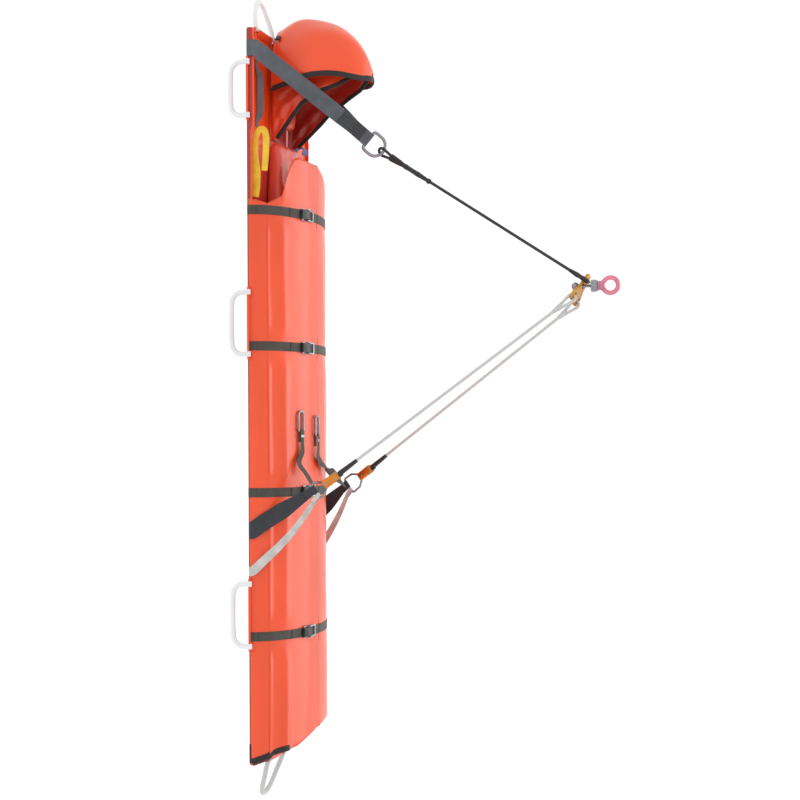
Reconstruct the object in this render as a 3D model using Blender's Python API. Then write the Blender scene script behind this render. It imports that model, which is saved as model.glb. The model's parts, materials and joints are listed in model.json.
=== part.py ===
"""Wrap-around cave rescue stretcher, hanging level from its lifting bridle.

Metres, +Z up, head at -X, feet at +X. The origin is the bearing point inside the lifting eye.
"""

import math

import bmesh
import bpy
from mathutils import Matrix, Vector

# Body: the closed section is half an ellipse on a flat base
BASE_Z = -0.966
HEAD_X = -0.710
FOOT_X = 1.290
HALF_W = 0.222
CROWN = 0.119
BASE_T = 0.006
SKIN_T = 0.003
WALL_TOP = 27.4
FLAP_ANGLES = [29.6, 35.0, 41.5, 44.9, 50.7, 56.8, 61.8, 69.9, 77.4, 83.5, 89.6]
NEAR_HEAD_EDGE = [(24, -0.2326), (41.5, -0.2586), (44.9, -0.3035), (50.7, -0.3388), (56.8, -0.3665),
                  (61.8, -0.3719), (77.4, -0.3674), (90, -0.3675)]
NEAR_FOOT_EDGE = [(24, 1.2675), (42.7, 1.2565), (56.8, 1.2515), (69.9, 1.2356), (86.1, 1.2185), (90, 1.2170)]
FAR_HEAD_EDGE = [(24, -0.2326), (50, -0.300), (60, -0.325), (74, -0.348), (82, -0.360), (90, -0.3675)]
FAR_FOOT_EDGE = [(24, 1.242), (40, 1.225), (50, 1.208), (60, 1.2055), (74, 1.2090), (82, 1.2130),
                 (90, 1.2165)]
LIP_X = -0.244
SHOULDER_X = -0.232
NEAR_LIP = 9.0
LOW_LIP = 6.2
FAR_LIP = 6.2
NEAR_TRIM = 0.022
FAR_TRIM = 0.055
GAP = 0.0004
CHANNEL = 0.0022

# Closure straps
STRAP_X = [-0.216, 0.153, 0.551, 0.941]
STRAP_W = 0.025
WEB_T = 0.0015
BUCKLE_ANGLE = 71.0

# Handles: outer tube, the rod each one turns on, and where they are
HANDLE_R = 0.0068
ROD_R = 0.003
ROD_OFF = 0.0105
ROD_H = 0.0062
SIDE_HANDLES = [(-0.615, -0.470), (0.008, 0.176), (0.797, 0.966)]
SIDE_DROP = 0.047
HEAD_HANDLE = (-0.165, -0.045, 0.088)
FOOT_HANDLE = (-0.100, 0.012, 0.108)
HEAD_DROOP = 9.0
FOOT_DROOP = 19.0

# Bridle
SLING_X = -0.653
SLING_W = 0.044
MID_X = 0.654
MID_W = 0.045
GREY_X = 0.764
GREY_W = 0.025
DBAR = Vector((-0.430, 0.0, 0.275))
DRING_W = 0.057
DRING_DEEP = 0.056
DRING_R = 0.004
ROPE_R = 0.0042
PLATE_Z = -0.090
PLATE_TILT = 29.0
PLATE_YAW = -15.0
PLATE_T = 0.008
LOBE_HEAD = -0.016
LOBE_FOOT = 0.036
LOBE_Y = 0.024
LOBE_HOLE = 0.0078
HEAD_HOLE = 0.0062
STEM_HOLE = 0.0068
STEM_R = 0.0040
ADJ_NEAR = Vector((0.518, -0.172, 0.2195))
ADJ_FAR = Vector((0.505, 0.172, 0.2035))
BAIL = {-1: 0.050, 1: 0.070}
CAM_B = 0.0067

# Swivel
EYE_R = 0.0205
EYE_STOCK = 0.0062

# Hood: height above the base, back of the dome, rim, half width
HOOD = [
    (0.022, -0.752, -0.570, 0.098), (0.054, -0.769, -0.575, 0.108), (0.094, -0.776, -0.586, 0.114),
    (0.133, -0.773, -0.596, 0.115), (0.172, -0.761, -0.600, 0.109), (0.210, -0.739, -0.600, 0.095),
    (0.246, -0.706, -0.596, 0.071), (0.270, -0.668, -0.594, 0.045), (0.284, -0.632, -0.596, 0.022),
]
HOOD_T = 0.003
HOOD_PIVOT = (-0.722, 0.003)
COLLAR_W = 0.078

COLOURS = {
    "skin": ((0.88, 0.12, 0.06), 0.35, 0.0), "webbing": ((0.07, 0.065, 0.055), 0.8, 0.0),
    "slate": ((0.12, 0.13, 0.15), 0.8, 0.0), "black": ((0.03, 0.03, 0.035), 0.6, 0.0),
    "pale": ((0.80, 0.81, 0.82), 0.5, 0.0), "grey": ((0.60, 0.60, 0.60), 0.8, 0.0),
    "steel": ((0.62, 0.62, 0.64), 0.25, 1.0), "gold": ((0.75, 0.50, 0.15), 0.3, 1.0),
    "orange": ((0.75, 0.28, 0.05), 0.3, 1.0), "rose": ((0.62, 0.17, 0.25), 0.3, 1.0),
    "yellow": ((0.95, 0.62, 0.05), 0.7, 0.0), "liner": ((0.60, 0.05, 0.03), 0.6, 0.0),
    "board": ((0.85, 0.85, 0.82), 0.5, 0.0),
}


def clear_scene():
    for old in list(bpy.data.objects):
        bpy.data.objects.remove(old, do_unlink=True)


def paint(obj, name, colour):
    rgb, rough, metal = COLOURS[colour]
    mat = bpy.data.materials.new(name + "_mat")
    mat.use_nodes = True
    shader = mat.node_tree.nodes["Principled BSDF"]
    shader.inputs["Base Color"].default_value = (*rgb, 1.0)
    shader.inputs["Roughness"].default_value = rough
    shader.inputs["Metallic"].default_value = metal
    obj.data.materials.clear()
    obj.data.materials.append(mat)


def lerp_table(table, at):
    for (a, va), (b, vb) in zip(table, table[1:]):
        if at <= b:
            t = max(0.0, (at - a) / (b - a))
            return va + (vb - va) * t
    return table[-1][1]


def shell_point(side, angle, out=0.0):
    """(y, height) on the body's outer surface; side is -1 for the near flank."""
    a = math.radians(angle)
    n = Vector((math.cos(a) / HALF_W, math.sin(a) / CROWN)).normalized()
    return side * (HALF_W * math.cos(a) + n.x * out), CROWN * math.sin(a) + n.y * out


def on_shell(side, angle, x, out=0.0):
    y, h = shell_point(side, angle, out)
    return Vector((x, y, BASE_Z + h))


def shell_frame(side, angle, x, out=0.0):
    """A matrix at the surface: X stays, Y runs up towards the crown, Z points out."""
    a = math.radians(angle)
    n = Vector((0, side * math.cos(a) / HALF_W, math.sin(a) / CROWN)).normalized()
    t = n.cross(Vector((1, 0, 0)))
    m = Matrix(((1, t.x, n.x), (0, t.y, n.y), (0, t.z, n.z))).to_4x4()
    m.translation = on_shell(side, angle, x, out)
    return m


def from_bmesh(name, bm, colour, smooth=False):
    bmesh.ops.recalc_face_normals(bm, faces=bm.faces[:])
    mesh = bpy.data.meshes.new(name)
    bm.to_mesh(mesh)
    bm.free()
    if smooth:
        for poly in mesh.polygons:
            poly.use_smooth = True
    obj = bpy.data.objects.new(name, mesh)
    bpy.context.collection.objects.link(obj)
    paint(obj, name, colour)
    return obj


def loft(name, rings, colour, closed=False, smooth=False):
    """A skin over rings of points, with flat ends or joined end to end."""
    bm = bmesh.new()
    rows = [[bm.verts.new(p) for p in ring] for ring in rings]
    count = len(rows[0])
    pairs = list(zip(rows, rows[1:])) + ([(rows[-1], rows[0])] if closed else [])
    for a, b in pairs:
        for i in range(count):
            j = (i + 1) % count
            bm.faces.new((a[i], a[j], b[j], b[i]))
    if not closed:
        bm.faces.new(rows[0][::-1])
        bm.faces.new(rows[-1])
    return from_bmesh(name, bm, colour, smooth)


def strip(name, points, across, colour, width, thick=WEB_T, closed=False):
    """A flat band along points; across gives the width direction at each point."""
    count = len(points)
    widths = width if isinstance(width, list) else [width] * count
    rings = []
    for i, p in enumerate(points):
        before = points[i - 1] if (i or closed) else p
        after = points[(i + 1) % count] if (i + 1 < count or closed) else p
        along = (after - before).normalized()
        w = (across[i] - along * across[i].dot(along)).normalized()
        n = along.cross(w)
        to_a = (p - before).normalized() if before is not p else along
        half = max(0.5, along.dot(to_a))
        w, n = w * widths[i] / 2, n * thick / 2 / half
        rings.append([p - w - n, p + w - n, p + w + n, p - w + n])
    return loft(name, rings, colour, closed)


def tube(name, points, radius, colour, closed=False, level=2):
    curve = bpy.data.curves.new(name, "CURVE")
    curve.dimensions = "3D"
    curve.bevel_depth = radius
    curve.bevel_resolution = level
    curve.use_fill_caps = True
    spline = curve.splines.new("POLY")
    spline.points.add(len(points) - 1)
    for sp, p in zip(spline.points, points):
        sp.co = (*p, 1.0)
    spline.use_cyclic_u = closed
    obj = bpy.data.objects.new(name, curve)
    bpy.context.collection.objects.link(obj)
    paint(obj, name, colour)
    return obj


def as_mesh(obj):
    """Turn a curve into a mesh object of the same name."""
    if obj.type == "MESH":
        return obj
    mesh = bpy.data.meshes.new_from_object(obj)
    name, mat = obj.name, obj.data.materials[0]
    bpy.data.objects.remove(obj, do_unlink=True)
    out = bpy.data.objects.new(name, mesh)
    bpy.context.collection.objects.link(out)
    out.data.materials.clear()
    out.data.materials.append(mat)
    return out


def cylinder(name, a, b, radius, colour, sides=16, top=None):
    a, b = Vector(a), Vector(b)
    bm = bmesh.new()
    bmesh.ops.create_cone(bm, cap_ends=True, segments=sides, radius1=radius,
                          radius2=radius if top is None else top, depth=(b - a).length)
    turn = Vector((0, 0, 1)).rotation_difference(b - a).to_matrix().to_4x4()
    turn.translation = (a + b) / 2
    bmesh.ops.transform(bm, matrix=turn, verts=bm.verts)
    return from_bmesh(name, bm, colour, True)


def block(name, low, high, colour, place=None, bevel=0.0, segments=2):
    bm = bmesh.new()
    bmesh.ops.create_cube(bm, size=1.0)
    low, high = Vector(low), Vector(high)
    for v in bm.verts:
        v.co = Vector((low[k] + (v.co[k] + 0.5) * (high[k] - low[k]) for k in range(3)))
    if bevel:
        bmesh.ops.bevel(bm, geom=bm.edges[:], offset=bevel, segments=segments, affect="EDGES", profile=0.5)
    if place is not None:
        bmesh.ops.transform(bm, matrix=place, verts=bm.verts)
    return from_bmesh(name, bm, colour)


def combine(obj, others, how="UNION"):
    """Boolean the others into obj and remove them."""
    obj = as_mesh(obj)
    for other in others:
        other = as_mesh(other)
        mod = obj.modifiers.new("cut", "BOOLEAN")
        mod.operation = how
        mod.solver = "EXACT"
        mod.object = other
        bpy.context.view_layer.update()
        graph = bpy.context.evaluated_depsgraph_get()
        mesh = bpy.data.meshes.new_from_object(obj.evaluated_get(graph))
        obj.modifiers.clear()
        mat = obj.data.materials[0]
        obj.data = mesh
        obj.data.materials.clear()
        obj.data.materials.append(mat)
        bpy.data.objects.remove(other, do_unlink=True)
    return obj


def set_pivot(obj, pivot):
    """Move the object's origin onto its joint axis without moving its shape."""
    pivot = Vector(pivot)
    if obj.type == "CURVE":
        for spline in obj.data.splines:
            for sp in spline.points:
                sp.co = (sp.co.x - pivot.x, sp.co.y - pivot.y, sp.co.z - pivot.z, 1.0)
    else:
        obj.data.transform(Matrix.Translation(-pivot))
    obj.location = pivot


def arc(centre, u, v, radius, start, stop, steps):
    return [centre + (u * math.cos(math.radians(start + (stop - start) * i / steps))
                      + v * math.sin(math.radians(start + (stop - start) * i / steps))) * radius
            for i in range(steps + 1)]


def high(x, y, h):
    return Vector((x, y, BASE_Z + h))


def wall_section(side, wall_top):
    """Outer and inner points of one side wall, from its top edge down to the corner of the base."""
    outer, inner = [], []
    for k in (3, 2, 1):
        a = wall_top * k / 3
        outer.append(shell_point(side, a))
        y, h = shell_point(side, a, -SKIN_T)
        inner.append((y, max(h, BASE_T + 0.002 * k / 3)))
    outer += [(side * HALF_W, 0.004), (side * (HALF_W - 0.004), 0.0)]
    inner += [(side * (HALF_W - 0.006), BASE_T)]
    return outer, inner


def base_section(x, near_top, far_top, near_trim=0.0, far_trim=0.0):
    """One section of the base: outside from near to far, then inside back; the trims slant an end."""
    near_out, near_in = wall_section(-1, near_top)
    far_out, far_in = wall_section(1, far_top)
    loop = near_out + far_out[::-1] + far_in + near_in[::-1]
    return [high(x - (near_trim if y < 0 else far_trim) * h / 0.06, y, h) for y, h in loop]


def rod_for_handle(name, a, b, out):
    """The rod a handle turns on, with the two lugs that tie it to the panel."""
    a, b = Vector(a), Vector(b)
    run = (b - a).normalized()
    rod = cylinder(name, a - run * 0.010, b + run * 0.010, ROD_R, "skin", 10)
    lugs = []
    for end, way in ((a, -1), (b, 1)):
        c = end + run * way * 0.0115
        size = [0.0022 if abs(run[k]) > 0.5 else 0.0 for k in range(3)]
        far = c - Vector(out) * (ROD_OFF + (0.006 if abs(out[0]) > 0.5 else 0.0022))
        low = [min(c[k], far[k]) - size[k] - (0.0026 if k == 2 else 0) for k in range(3)]
        top = [max(c[k], far[k]) + size[k] + (0.0026 if k == 2 else 0) for k in range(3)]
        lugs.append(block(name + "_lug", low, top, "skin"))
    return [rod] + lugs


def handle_ends():
    """(name, end a, end b, outward direction) for each of the eight handles."""
    out = []
    for side, word in ((-1, "near"), (1, "far")):
        for i, (x0, x1) in enumerate(SIDE_HANDLES):
            y = side * (HALF_W + ROD_OFF)
            out.append((f"handle_{word}_{i + 1}", high(x0, y, ROD_H), high(x1, y, ROD_H), (0, side, 0)))
    for name, x, way, (y0, y1, _) in (("handle_head", HEAD_X, -1, HEAD_HANDLE),
                                      ("handle_foot", FOOT_X, 1, FOOT_HANDLE)):
        out_x = x + way * ROD_OFF
        out.append((name, high(out_x, y0, ROD_H), high(out_x, y1, ROD_H), (way, 0, 0)))
    return out


def make_base():
    rings = [base_section(HEAD_X, NEAR_LIP, FAR_LIP), base_section(-0.449, NEAR_LIP, FAR_LIP),
             base_section(-0.426, LOW_LIP, FAR_LIP), base_section(LIP_X, LOW_LIP, FAR_LIP),
             base_section(SHOULDER_X, WALL_TOP, WALL_TOP), base_section(1.18, WALL_TOP, WALL_TOP),
             base_section(FOOT_X, WALL_TOP, WALL_TOP, NEAR_TRIM, FAR_TRIM)]
    panel = loft("base_panel", rings, "skin")
    bands = [(x, STRAP_W) for x in STRAP_X] + [(SLING_X, SLING_W), (MID_X, MID_W), (GREY_X, GREY_W)]
    cuts = [block("channel", (x - w / 2 - 0.0005, -0.3, BASE_Z - 0.01),
                  (x + w / 2 + 0.0005, 0.3, BASE_Z + CHANNEL), "skin") for x, w in bands]
    combine(panel, cuts, "DIFFERENCE")
    for name, a, b, out in handle_ends():
        combine(panel, rod_for_handle(name + "_rod", a, b, out))
    for side, word in ((-1, "near"), (1, "far")):
        block(f"stiffener_{word}", (-0.40, min(side * 0.02, side * 0.185), BASE_Z + BASE_T + GAP),
              (1.25, max(side * 0.02, side * 0.185), BASE_Z + BASE_T + GAP + 0.003), "board", bevel=0.001,
              segments=1)


def make_handles():
    for name, a, b, out in handle_ends():
        run = (b - a).normalized()
        out = Vector(out)
        ends = abs(out.x) > 0.5
        drop = {"handle_head": HEAD_HANDLE[2], "handle_foot": FOOT_HANDLE[2]}.get(name, SIDE_DROP)
        droop = math.radians(FOOT_DROOP if name == "handle_foot" else HEAD_DROOP)
        down = out * math.cos(droop) - Vector((0, 0, math.sin(droop))) if ends else Vector((0, 0, -1))
        inset = 0.030
        points = [a, a + down * 0.010]
        points += [a + down * (drop - inset * (1 - math.sin(t))) + run * inset * (1 - math.cos(t))
                   for t in (0, 0.4, 0.8, 1.2, math.pi / 2)]
        if ends:
            middle = a + run * (b - a).length / 2
            points = [a, a + down * 0.012, a + down * 0.045 + run * 0.010]
            points += arc(middle + down * (drop - 0.034), -run, down, 0.036, 18, 90, 5)
        half = points[:]
        points += [q - run * (2 * (q - (a + b) / 2).dot(run)) for q in half[::-1] if q is not half[-1]]
        if not ends:
            points.insert(len(half), half[-1] - run * (2 * (half[-1] - (a + b) / 2).dot(run)))
        colour = "grey" if name == "handle_foot" else "pale"
        loop = tube(name, points, HANDLE_R, colour, level=2)
        eyes = [cylinder("eye", end - run * 0.0072, end + run * 0.0072, HANDLE_R + 0.0004, colour, 12)
                for end in (a, b)]
        loop = combine(loop, eyes)
        bores = [cylinder("bore", end - run * 0.010, end + run * 0.010, ROD_R + 0.0004, colour, 10)
                 for end in (a, b)]
        loop = combine(loop, bores, "DIFFERENCE")
        set_pivot(loop, a)


def make_flap(side, word, head_edge, foot_edge):
    outline = []
    for angle in FLAP_ANGLES:
        x0, x1 = lerp_table(head_edge, angle), lerp_table(foot_edge, angle)
        outline.append([on_shell(side, angle, x0), on_shell(side, angle, x1),
                        on_shell(side, angle, x1, -SKIN_T), on_shell(side, angle, x0, -SKIN_T)])
    flap = loft(f"flap_{word}", outline, "skin")
    set_pivot(flap, hinge_point(side))


def hinge_point(side):
    y, h = shell_point(side, 28.5, 0.002)
    return high(0.5, y, h)


def bottom_run(out):
    """A band's way across the underside, flush in its channel, from the near edge to the far one."""
    half = [(-HALF_W - out, 0.0042), (-HALF_W - out * 0.4, 0.0017), (-HALF_W + 0.0025, CHANNEL - out)]
    return half + [(-y, h) for y, h in half[::-1]]


def under_path(out):
    """The way round the base, from the top of the near wall to the top of the far one."""
    near = [shell_point(-1, WALL_TOP * k / 3, out) for k in (3, 2, 1)]
    return near + bottom_run(out) + [(-y, h) for y, h in near[::-1]]


def make_straps():
    mid = GAP + WEB_T / 2
    for i, x in enumerate(STRAP_X):
        path = [high(x, y, h) for y, h in under_path(mid)]
        strip(f"strap_{i + 1}_under", path, [Vector((1, 0, 0))] * len(path), "webbing", STRAP_W)
        for side, word in ((-1, "near"), (1, "far")):
            path = [on_shell(side, a, x, mid) for a in FLAP_ANGLES]
            path[0] = path[0].lerp(path[1], 0.15)
            piece = strip(f"strap_{i + 1}_{word}", path, [Vector((1, 0, 0))] * len(path), "webbing", STRAP_W)
            set_pivot(piece, hinge_point(side))


def make_buckles():
    """Four cam buckles: a steel frame on the near strap and the black lever that pinches the web."""
    for i, x in enumerate(STRAP_X):
        place = shell_frame(-1, BUCKLE_ANGLE, x)
        frame = block(f"buckle_{i + 1}", (-0.0165, -0.024, 0.0026), (0.0165, 0.040, 0.0042), "steel",
                      bevel=0.0006, segments=1)
        window = block("window", (-0.0125, 0.014, 0.0), (0.0125, 0.034, 0.008), "steel")
        ears = [block("ear", (x - 0.0013, -0.004, 0.0035), (x + 0.0013, 0.008, 0.0128), "steel")
                for x in (-0.0149, 0.0149)]
        pin = cylinder("pin", (-0.0150, 0.002, 0.0088), (0.0150, 0.002, 0.0088), 0.0018, "steel", 12)
        frame = combine(frame, [window], "DIFFERENCE")
        frame = combine(frame, ears + [pin])
        frame.data.transform(place)
        set_pivot(frame, hinge_point(-1))
        lever = block(f"buckle_lever_{i + 1}", (-0.0130, -0.033, 0.0049), (0.0130, 0.002, 0.0126), "black",
                      bevel=0.0012, segments=1)
        boss = cylinder("boss", (-0.0130, 0.002, 0.0088), (0.0130, 0.002, 0.0088), 0.0038, "black", 16)
        bore = cylinder("bore", (-0.0180, 0.002, 0.0088), (0.0180, 0.002, 0.0088), 0.0021, "black", 12)
        lever = combine(combine(lever, [boss]), [bore], "DIFFERENCE")
        lever.data.transform(place)
        set_pivot(lever, place @ Vector((0, 0.002, 0.0088)))


def hood_ring(h, back, rim, half, inner):
    """A plan section of the dome: from the near rim round the back to the far rim, and back inside."""
    steps = 14
    t = HOOD_T
    outer = [high(rim - (rim - back) * max(0.0, math.cos(a)) ** 0.85, half * math.sin(a), h)
             for a in (math.radians(-90 + 180 * k / steps) for k in range(steps + 1))]
    inside = [high(rim - (rim - back - t) * max(0.0, math.cos(a)) ** 0.85, (half - t) * math.sin(a), inner)
              for a in (math.radians(90 - 180 * k / steps) for k in range(steps + 1))]
    return outer + inside


def make_hood():
    thin = [0.0] * (len(HOOD) - 2) + [0.0015, 0.004]
    rings = [hood_ring(h, back, rim, half, h - less) for less, (h, back, rim, half) in zip(thin, HOOD)]
    dome = loft("hood_dome", rings, "skin")
    top_h, back, rim, half = HOOD[-1]
    cap = [[high(rim - (rim - back) * s, half * w, top_h + lift) for s, w in
            ((0.0, -1.0), (0.55, -0.85), (1.0, 0.0), (0.55, 0.85), (0.0, 1.0))] for lift in (-0.0035, 0.003)]
    lid = loft("lid", cap, "skin")
    dome = combine(dome, [lid])
    pivot = high(HOOD_PIVOT[0], 0, HOOD_PIVOT[1])
    set_pivot(dome, pivot)
    clip = block("hood_clip", (-0.008, 0.0014, -0.007), (0.008, 0.0074, 0.007), "black", bevel=0.0015,
                 segments=1)
    turn = Matrix.Rotation(math.radians(142), 4, "Z")
    clip.data.transform(Matrix.Translation(high(-0.7115, -0.0750, 0.036)) @ turn)
    set_pivot(clip, pivot)


def collar_height(side, x):
    """Top edge of the collar: the near wall is cut a little lower than the far one."""
    near = [(-0.634, 0.235), (-0.600, 0.235), (-0.580, 0.205), (-0.562, 0.158), (-0.529, 0.105),
            (-0.430, 0.026)]
    far = [(-0.634, 0.250), (-0.600, 0.262), (-0.580, 0.240), (-0.562, 0.200), (-0.529, 0.138),
           (-0.430, 0.030)]
    return lerp_table(near if side < 0 else far, x)


def make_collar():
    """The open trough round the casualty's head, cut on the slant from the hood to the shoulders."""
    rings = []
    for x in (-0.634, -0.607, -0.580, -0.562, -0.529, -0.48, -0.430):
        pinch = lerp_table([(-0.634, 0.70), (-0.580, 0.90), (-0.50, 1.0), (-0.43, 0.96)], x)
        walls = []
        for side in (-1, 1):
            top = collar_height(side, x)
            outer = []
            for h in (top, top * 0.75 + 0.0025, top * 0.5 + 0.005, top * 0.25 + 0.0075):
                outer.append((COLLAR_W * pinch * (1 - 0.45 * (max(0.0, h - 0.09) / 0.15) ** 2), h))
            outer += [(COLLAR_W * pinch * 0.93, 0.0115), (COLLAR_W * pinch * 0.80, BASE_T + GAP)]
            inner = [(w - 0.0025, max(h, BASE_T + GAP + 0.0025)) for w, h in outer]
            walls.append(([(side * w, h) for w, h in outer], [(side * w, h) for w, h in inner]))
        (near_out, near_in), (far_out, far_in) = walls
        rings.append([high(x, y, h) for y, h in near_out + far_out[::-1] + far_in + near_in[::-1]])
    loft("hood_collar", rings, "liner")


def make_head_sling():
    """One band: from the D-ring's bar down to the near edge, under the base and back up."""
    foot_n = Vector((SLING_X, 0, 0.026)) - Vector((DBAR.x, 0, DBAR.z))
    down = foot_n.normalized()
    level = Vector((-1, 0, 0))
    slant = Vector((-down.z, 0, down.x))
    if slant.x > 0:
        slant = -slant
    bar = high(DBAR.x, 0, DBAR.z)
    turn = DRING_R + GAP + WEB_T / 2
    y = Vector((0, 1, 0))
    out = GAP + WEB_T / 2
    crook = arc(bar, y, -down, turn, 0, 180, 8)
    legs = [(0.035, turn, slant), (0.060, turn + 0.002, slant), (0.100, turn + 0.022, slant)]
    length = foot_n.length
    end_off = HALF_W + out + 0.0007
    for k in (0.60, 0.86, 0.96, 1.0):
        s = 0.100 + (length - 0.100) * k
        off = turn + 0.022 + (end_off - turn - 0.022) * k
        mix = slant.lerp(level, max(0.0, (k - 0.7) / 0.3))
        legs.append((s, off, mix))
    points, across = crook[:], [slant] * len(crook)
    for s, off, mix in legs:
        points.append(bar + down * s - y * off)
        across.append(mix)
    bottom = [high(SLING_X, yy, h) for yy, h in bottom_run(out)]
    points += bottom
    across += [level] * len(bottom)
    for s, off, mix in legs[::-1]:
        points.append(bar + down * s + y * off)
        across.append(mix)
    near_bar = [0.040 if i <= len(crook) + 1 or i >= len(points) - 2 else SLING_W for i in range(len(points))]
    strip("head_sling", points, across, "slate", near_bar, closed=True)
    return bar, down, slant


def make_d_ring(bar, down, slant):
    up = -down
    half = DRING_W / 2
    r = half
    corner = bar + slant * half
    points = [bar + slant * (half - 0.008), corner + up * 0.0023 - slant * 0.0023, corner + up * 0.008]
    centre = bar + up * (DRING_DEEP - r)
    points += arc(centre, slant, up, r, 0, 180, 12)
    points += [bar - slant * half + up * 0.008, bar - slant * (half - 0.0023) + up * 0.0023,
               bar - slant * (half - 0.008)]
    tube("d_ring", points, DRING_R, "steel", closed=True, level=2)
    return bar + up * DRING_DEEP


def eye_loop(name, centre, towards, normal, radius, neck, colour):
    """A teardrop eye round centre, closing to a neck on the side that the rope leaves from."""
    a = towards.normalized()
    n = normal.normalized()
    b = n.cross(a)
    lean = math.degrees(math.acos(min(1.0, radius / neck)))
    ring = arc(centre, a, b, radius, lean, 360 - lean, 14)
    start = centre + a * neck
    return tube(name, [start + b * 0.0036] + ring + [start - b * 0.0036], ROPE_R, colour, level=1)


def make_rope(name, eye_a, eye_b, colour, thick_end=0.0, tail=None):
    """A rope between two points; each eye is (centre, radius, neck, plane normal) or None."""
    a, b = Vector(eye_a[0]), Vector(eye_b[0])
    along = (b - a).normalized()
    start = a + along * (eye_a[2] - 0.002 if eye_a[1] else 0.0)
    stop = b - along * (eye_b[2] - 0.002 if eye_b[1] else 0.0)
    rope = as_mesh(tube(name, [start, stop], ROPE_R, colour, level=2))
    extra = []
    for eye, way in ((eye_a, along), (eye_b, -along)):
        if eye[1]:
            centre = Vector(eye[0])
            neck = centre + way * eye[2]
            extra.append(cylinder("sleeve", neck - way * 0.010, neck + way * eye[4], 0.0088, colour, 12,
                                  top=ROPE_R + 0.0012))
            extra.append(eye_loop("eye", centre, way, eye[3], eye[1], eye[2], colour))
    if thick_end:
        extra.append(cylinder("double", start, start + along * thick_end, ROPE_R + 0.0026, colour, 12,
                              top=ROPE_R + 0.0022))
    return combine(rope, extra)


def plate_point(s, y=0.0, n=0.0):
    t = math.radians(PLATE_TILT)
    turn = Matrix.Rotation(math.radians(PLATE_YAW), 3, "Z")
    run = Vector((math.cos(t), 0, -math.sin(t)))
    face = Vector((math.sin(t), 0, math.cos(t)))
    return Vector((0, 0, PLATE_Z)) + turn @ (run * s + face * n + Vector((0, y, 0)))


def make_plate():
    """Rigging plate: one lobe for the head rope, two for the foot legs, the swivel between them."""
    outline = [(-0.0365, 0.006), (-0.0365, -0.006), (-0.0315, -0.0130), (-0.0210, -0.0155),
               (-0.0090, -0.0185), (0.0070, -0.0205), (0.0210, -0.0325), (0.0350, -0.0385),
               (0.0460, -0.0360), (0.0520, -0.0280), (0.0510, -0.0170), (0.0425, -0.0095), (0.0380, 0.0)]
    outline += [(s, -y) for s, y in outline[-2:1:-1]]
    bm = bmesh.new()
    rows = [[bm.verts.new(plate_point(s, y, n)) for s, y in outline] for n in (-PLATE_T / 2, PLATE_T / 2)]
    bm.faces.new(rows[0][::-1])
    bm.faces.new(rows[1])
    for i in range(len(outline)):
        j = (i + 1) % len(outline)
        bm.faces.new((rows[0][i], rows[0][j], rows[1][j], rows[1][i]))
    plate = from_bmesh("rigging_plate", bm, "gold")
    bevel = plate.modifiers.new("bevel", "BEVEL")
    bevel.width = 0.0012
    bevel.segments = 2
    bevel.limit_method = "ANGLE"
    bevel.angle_limit = math.radians(50)
    mesh = bpy.data.meshes.new_from_object(plate.evaluated_get(bpy.context.evaluated_depsgraph_get()))
    plate.modifiers.clear()
    plate.data = mesh
    holes = [cylinder("hole", plate_point(s, y, -0.02), plate_point(s, y, 0.02), r, "gold", 24)
             for s, y, r in ((LOBE_HEAD, 0, HEAD_HOLE), (LOBE_FOOT, -LOBE_Y, LOBE_HOLE),
                             (LOBE_FOOT, LOBE_Y, LOBE_HOLE), (0, 0, STEM_HOLE))]
    combine(plate, holes, "DIFFERENCE")


def make_swivel():
    body = cylinder("swivel_body", (0, 0, -0.0655), (0, 0, -0.0525), 0.0165, "steel", 32)
    shoulder = cylinder("shoulder", (0, 0, -0.0535), (0, 0, -0.0475), 0.0162, "steel", 32, top=0.0135)
    stem = cylinder("stem", (0, 0, -0.108), (0, 0, -0.060), STEM_R, "steel", 16)
    bm = bmesh.new()
    bmesh.ops.create_uvsphere(bm, u_segments=16, v_segments=8, radius=0.0112,
                              matrix=Matrix.Translation((0, 0, PLATE_Z - 0.0180)))
    ball = from_bmesh("ball", bm, "steel", True)
    body = combine(body, [shoulder, stem, ball])
    bore = cylinder("bore", (0, 0, -0.0580), (0, 0, -0.0400), 0.00612, "steel", 24)
    combine(body, [bore], "DIFFERENCE")
    top = -EYE_R + EYE_STOCK
    centre = Vector((0, 0, top))
    ring = tube("swivel_eye", arc(centre, Vector((1, 0, 0)), Vector((0, 0, 1)), EYE_R, 0, 342, 19), EYE_STOCK,
                "rose", closed=True, level=2)
    neck = cylinder("neck", (0, 0, -0.0470), (0, 0, -0.0340), 0.0128, "rose", 28, top=0.0110)
    pin = cylinder("pin", (0, 0, -0.0570), (0, 0, -0.0440), 0.0060, "rose", 24)
    combine(ring, [neck, pin])


def adjuster_axes(side):
    centre = high(*(ADJ_NEAR if side < 0 else ADJ_FAR))
    lobe = plate_point(LOBE_FOOT, side * LOBE_Y)
    a = (lobe - centre).normalized()
    b = Vector((a.z, 0, -a.x)).normalized()
    return centre, a, b, a.cross(b)


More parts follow.
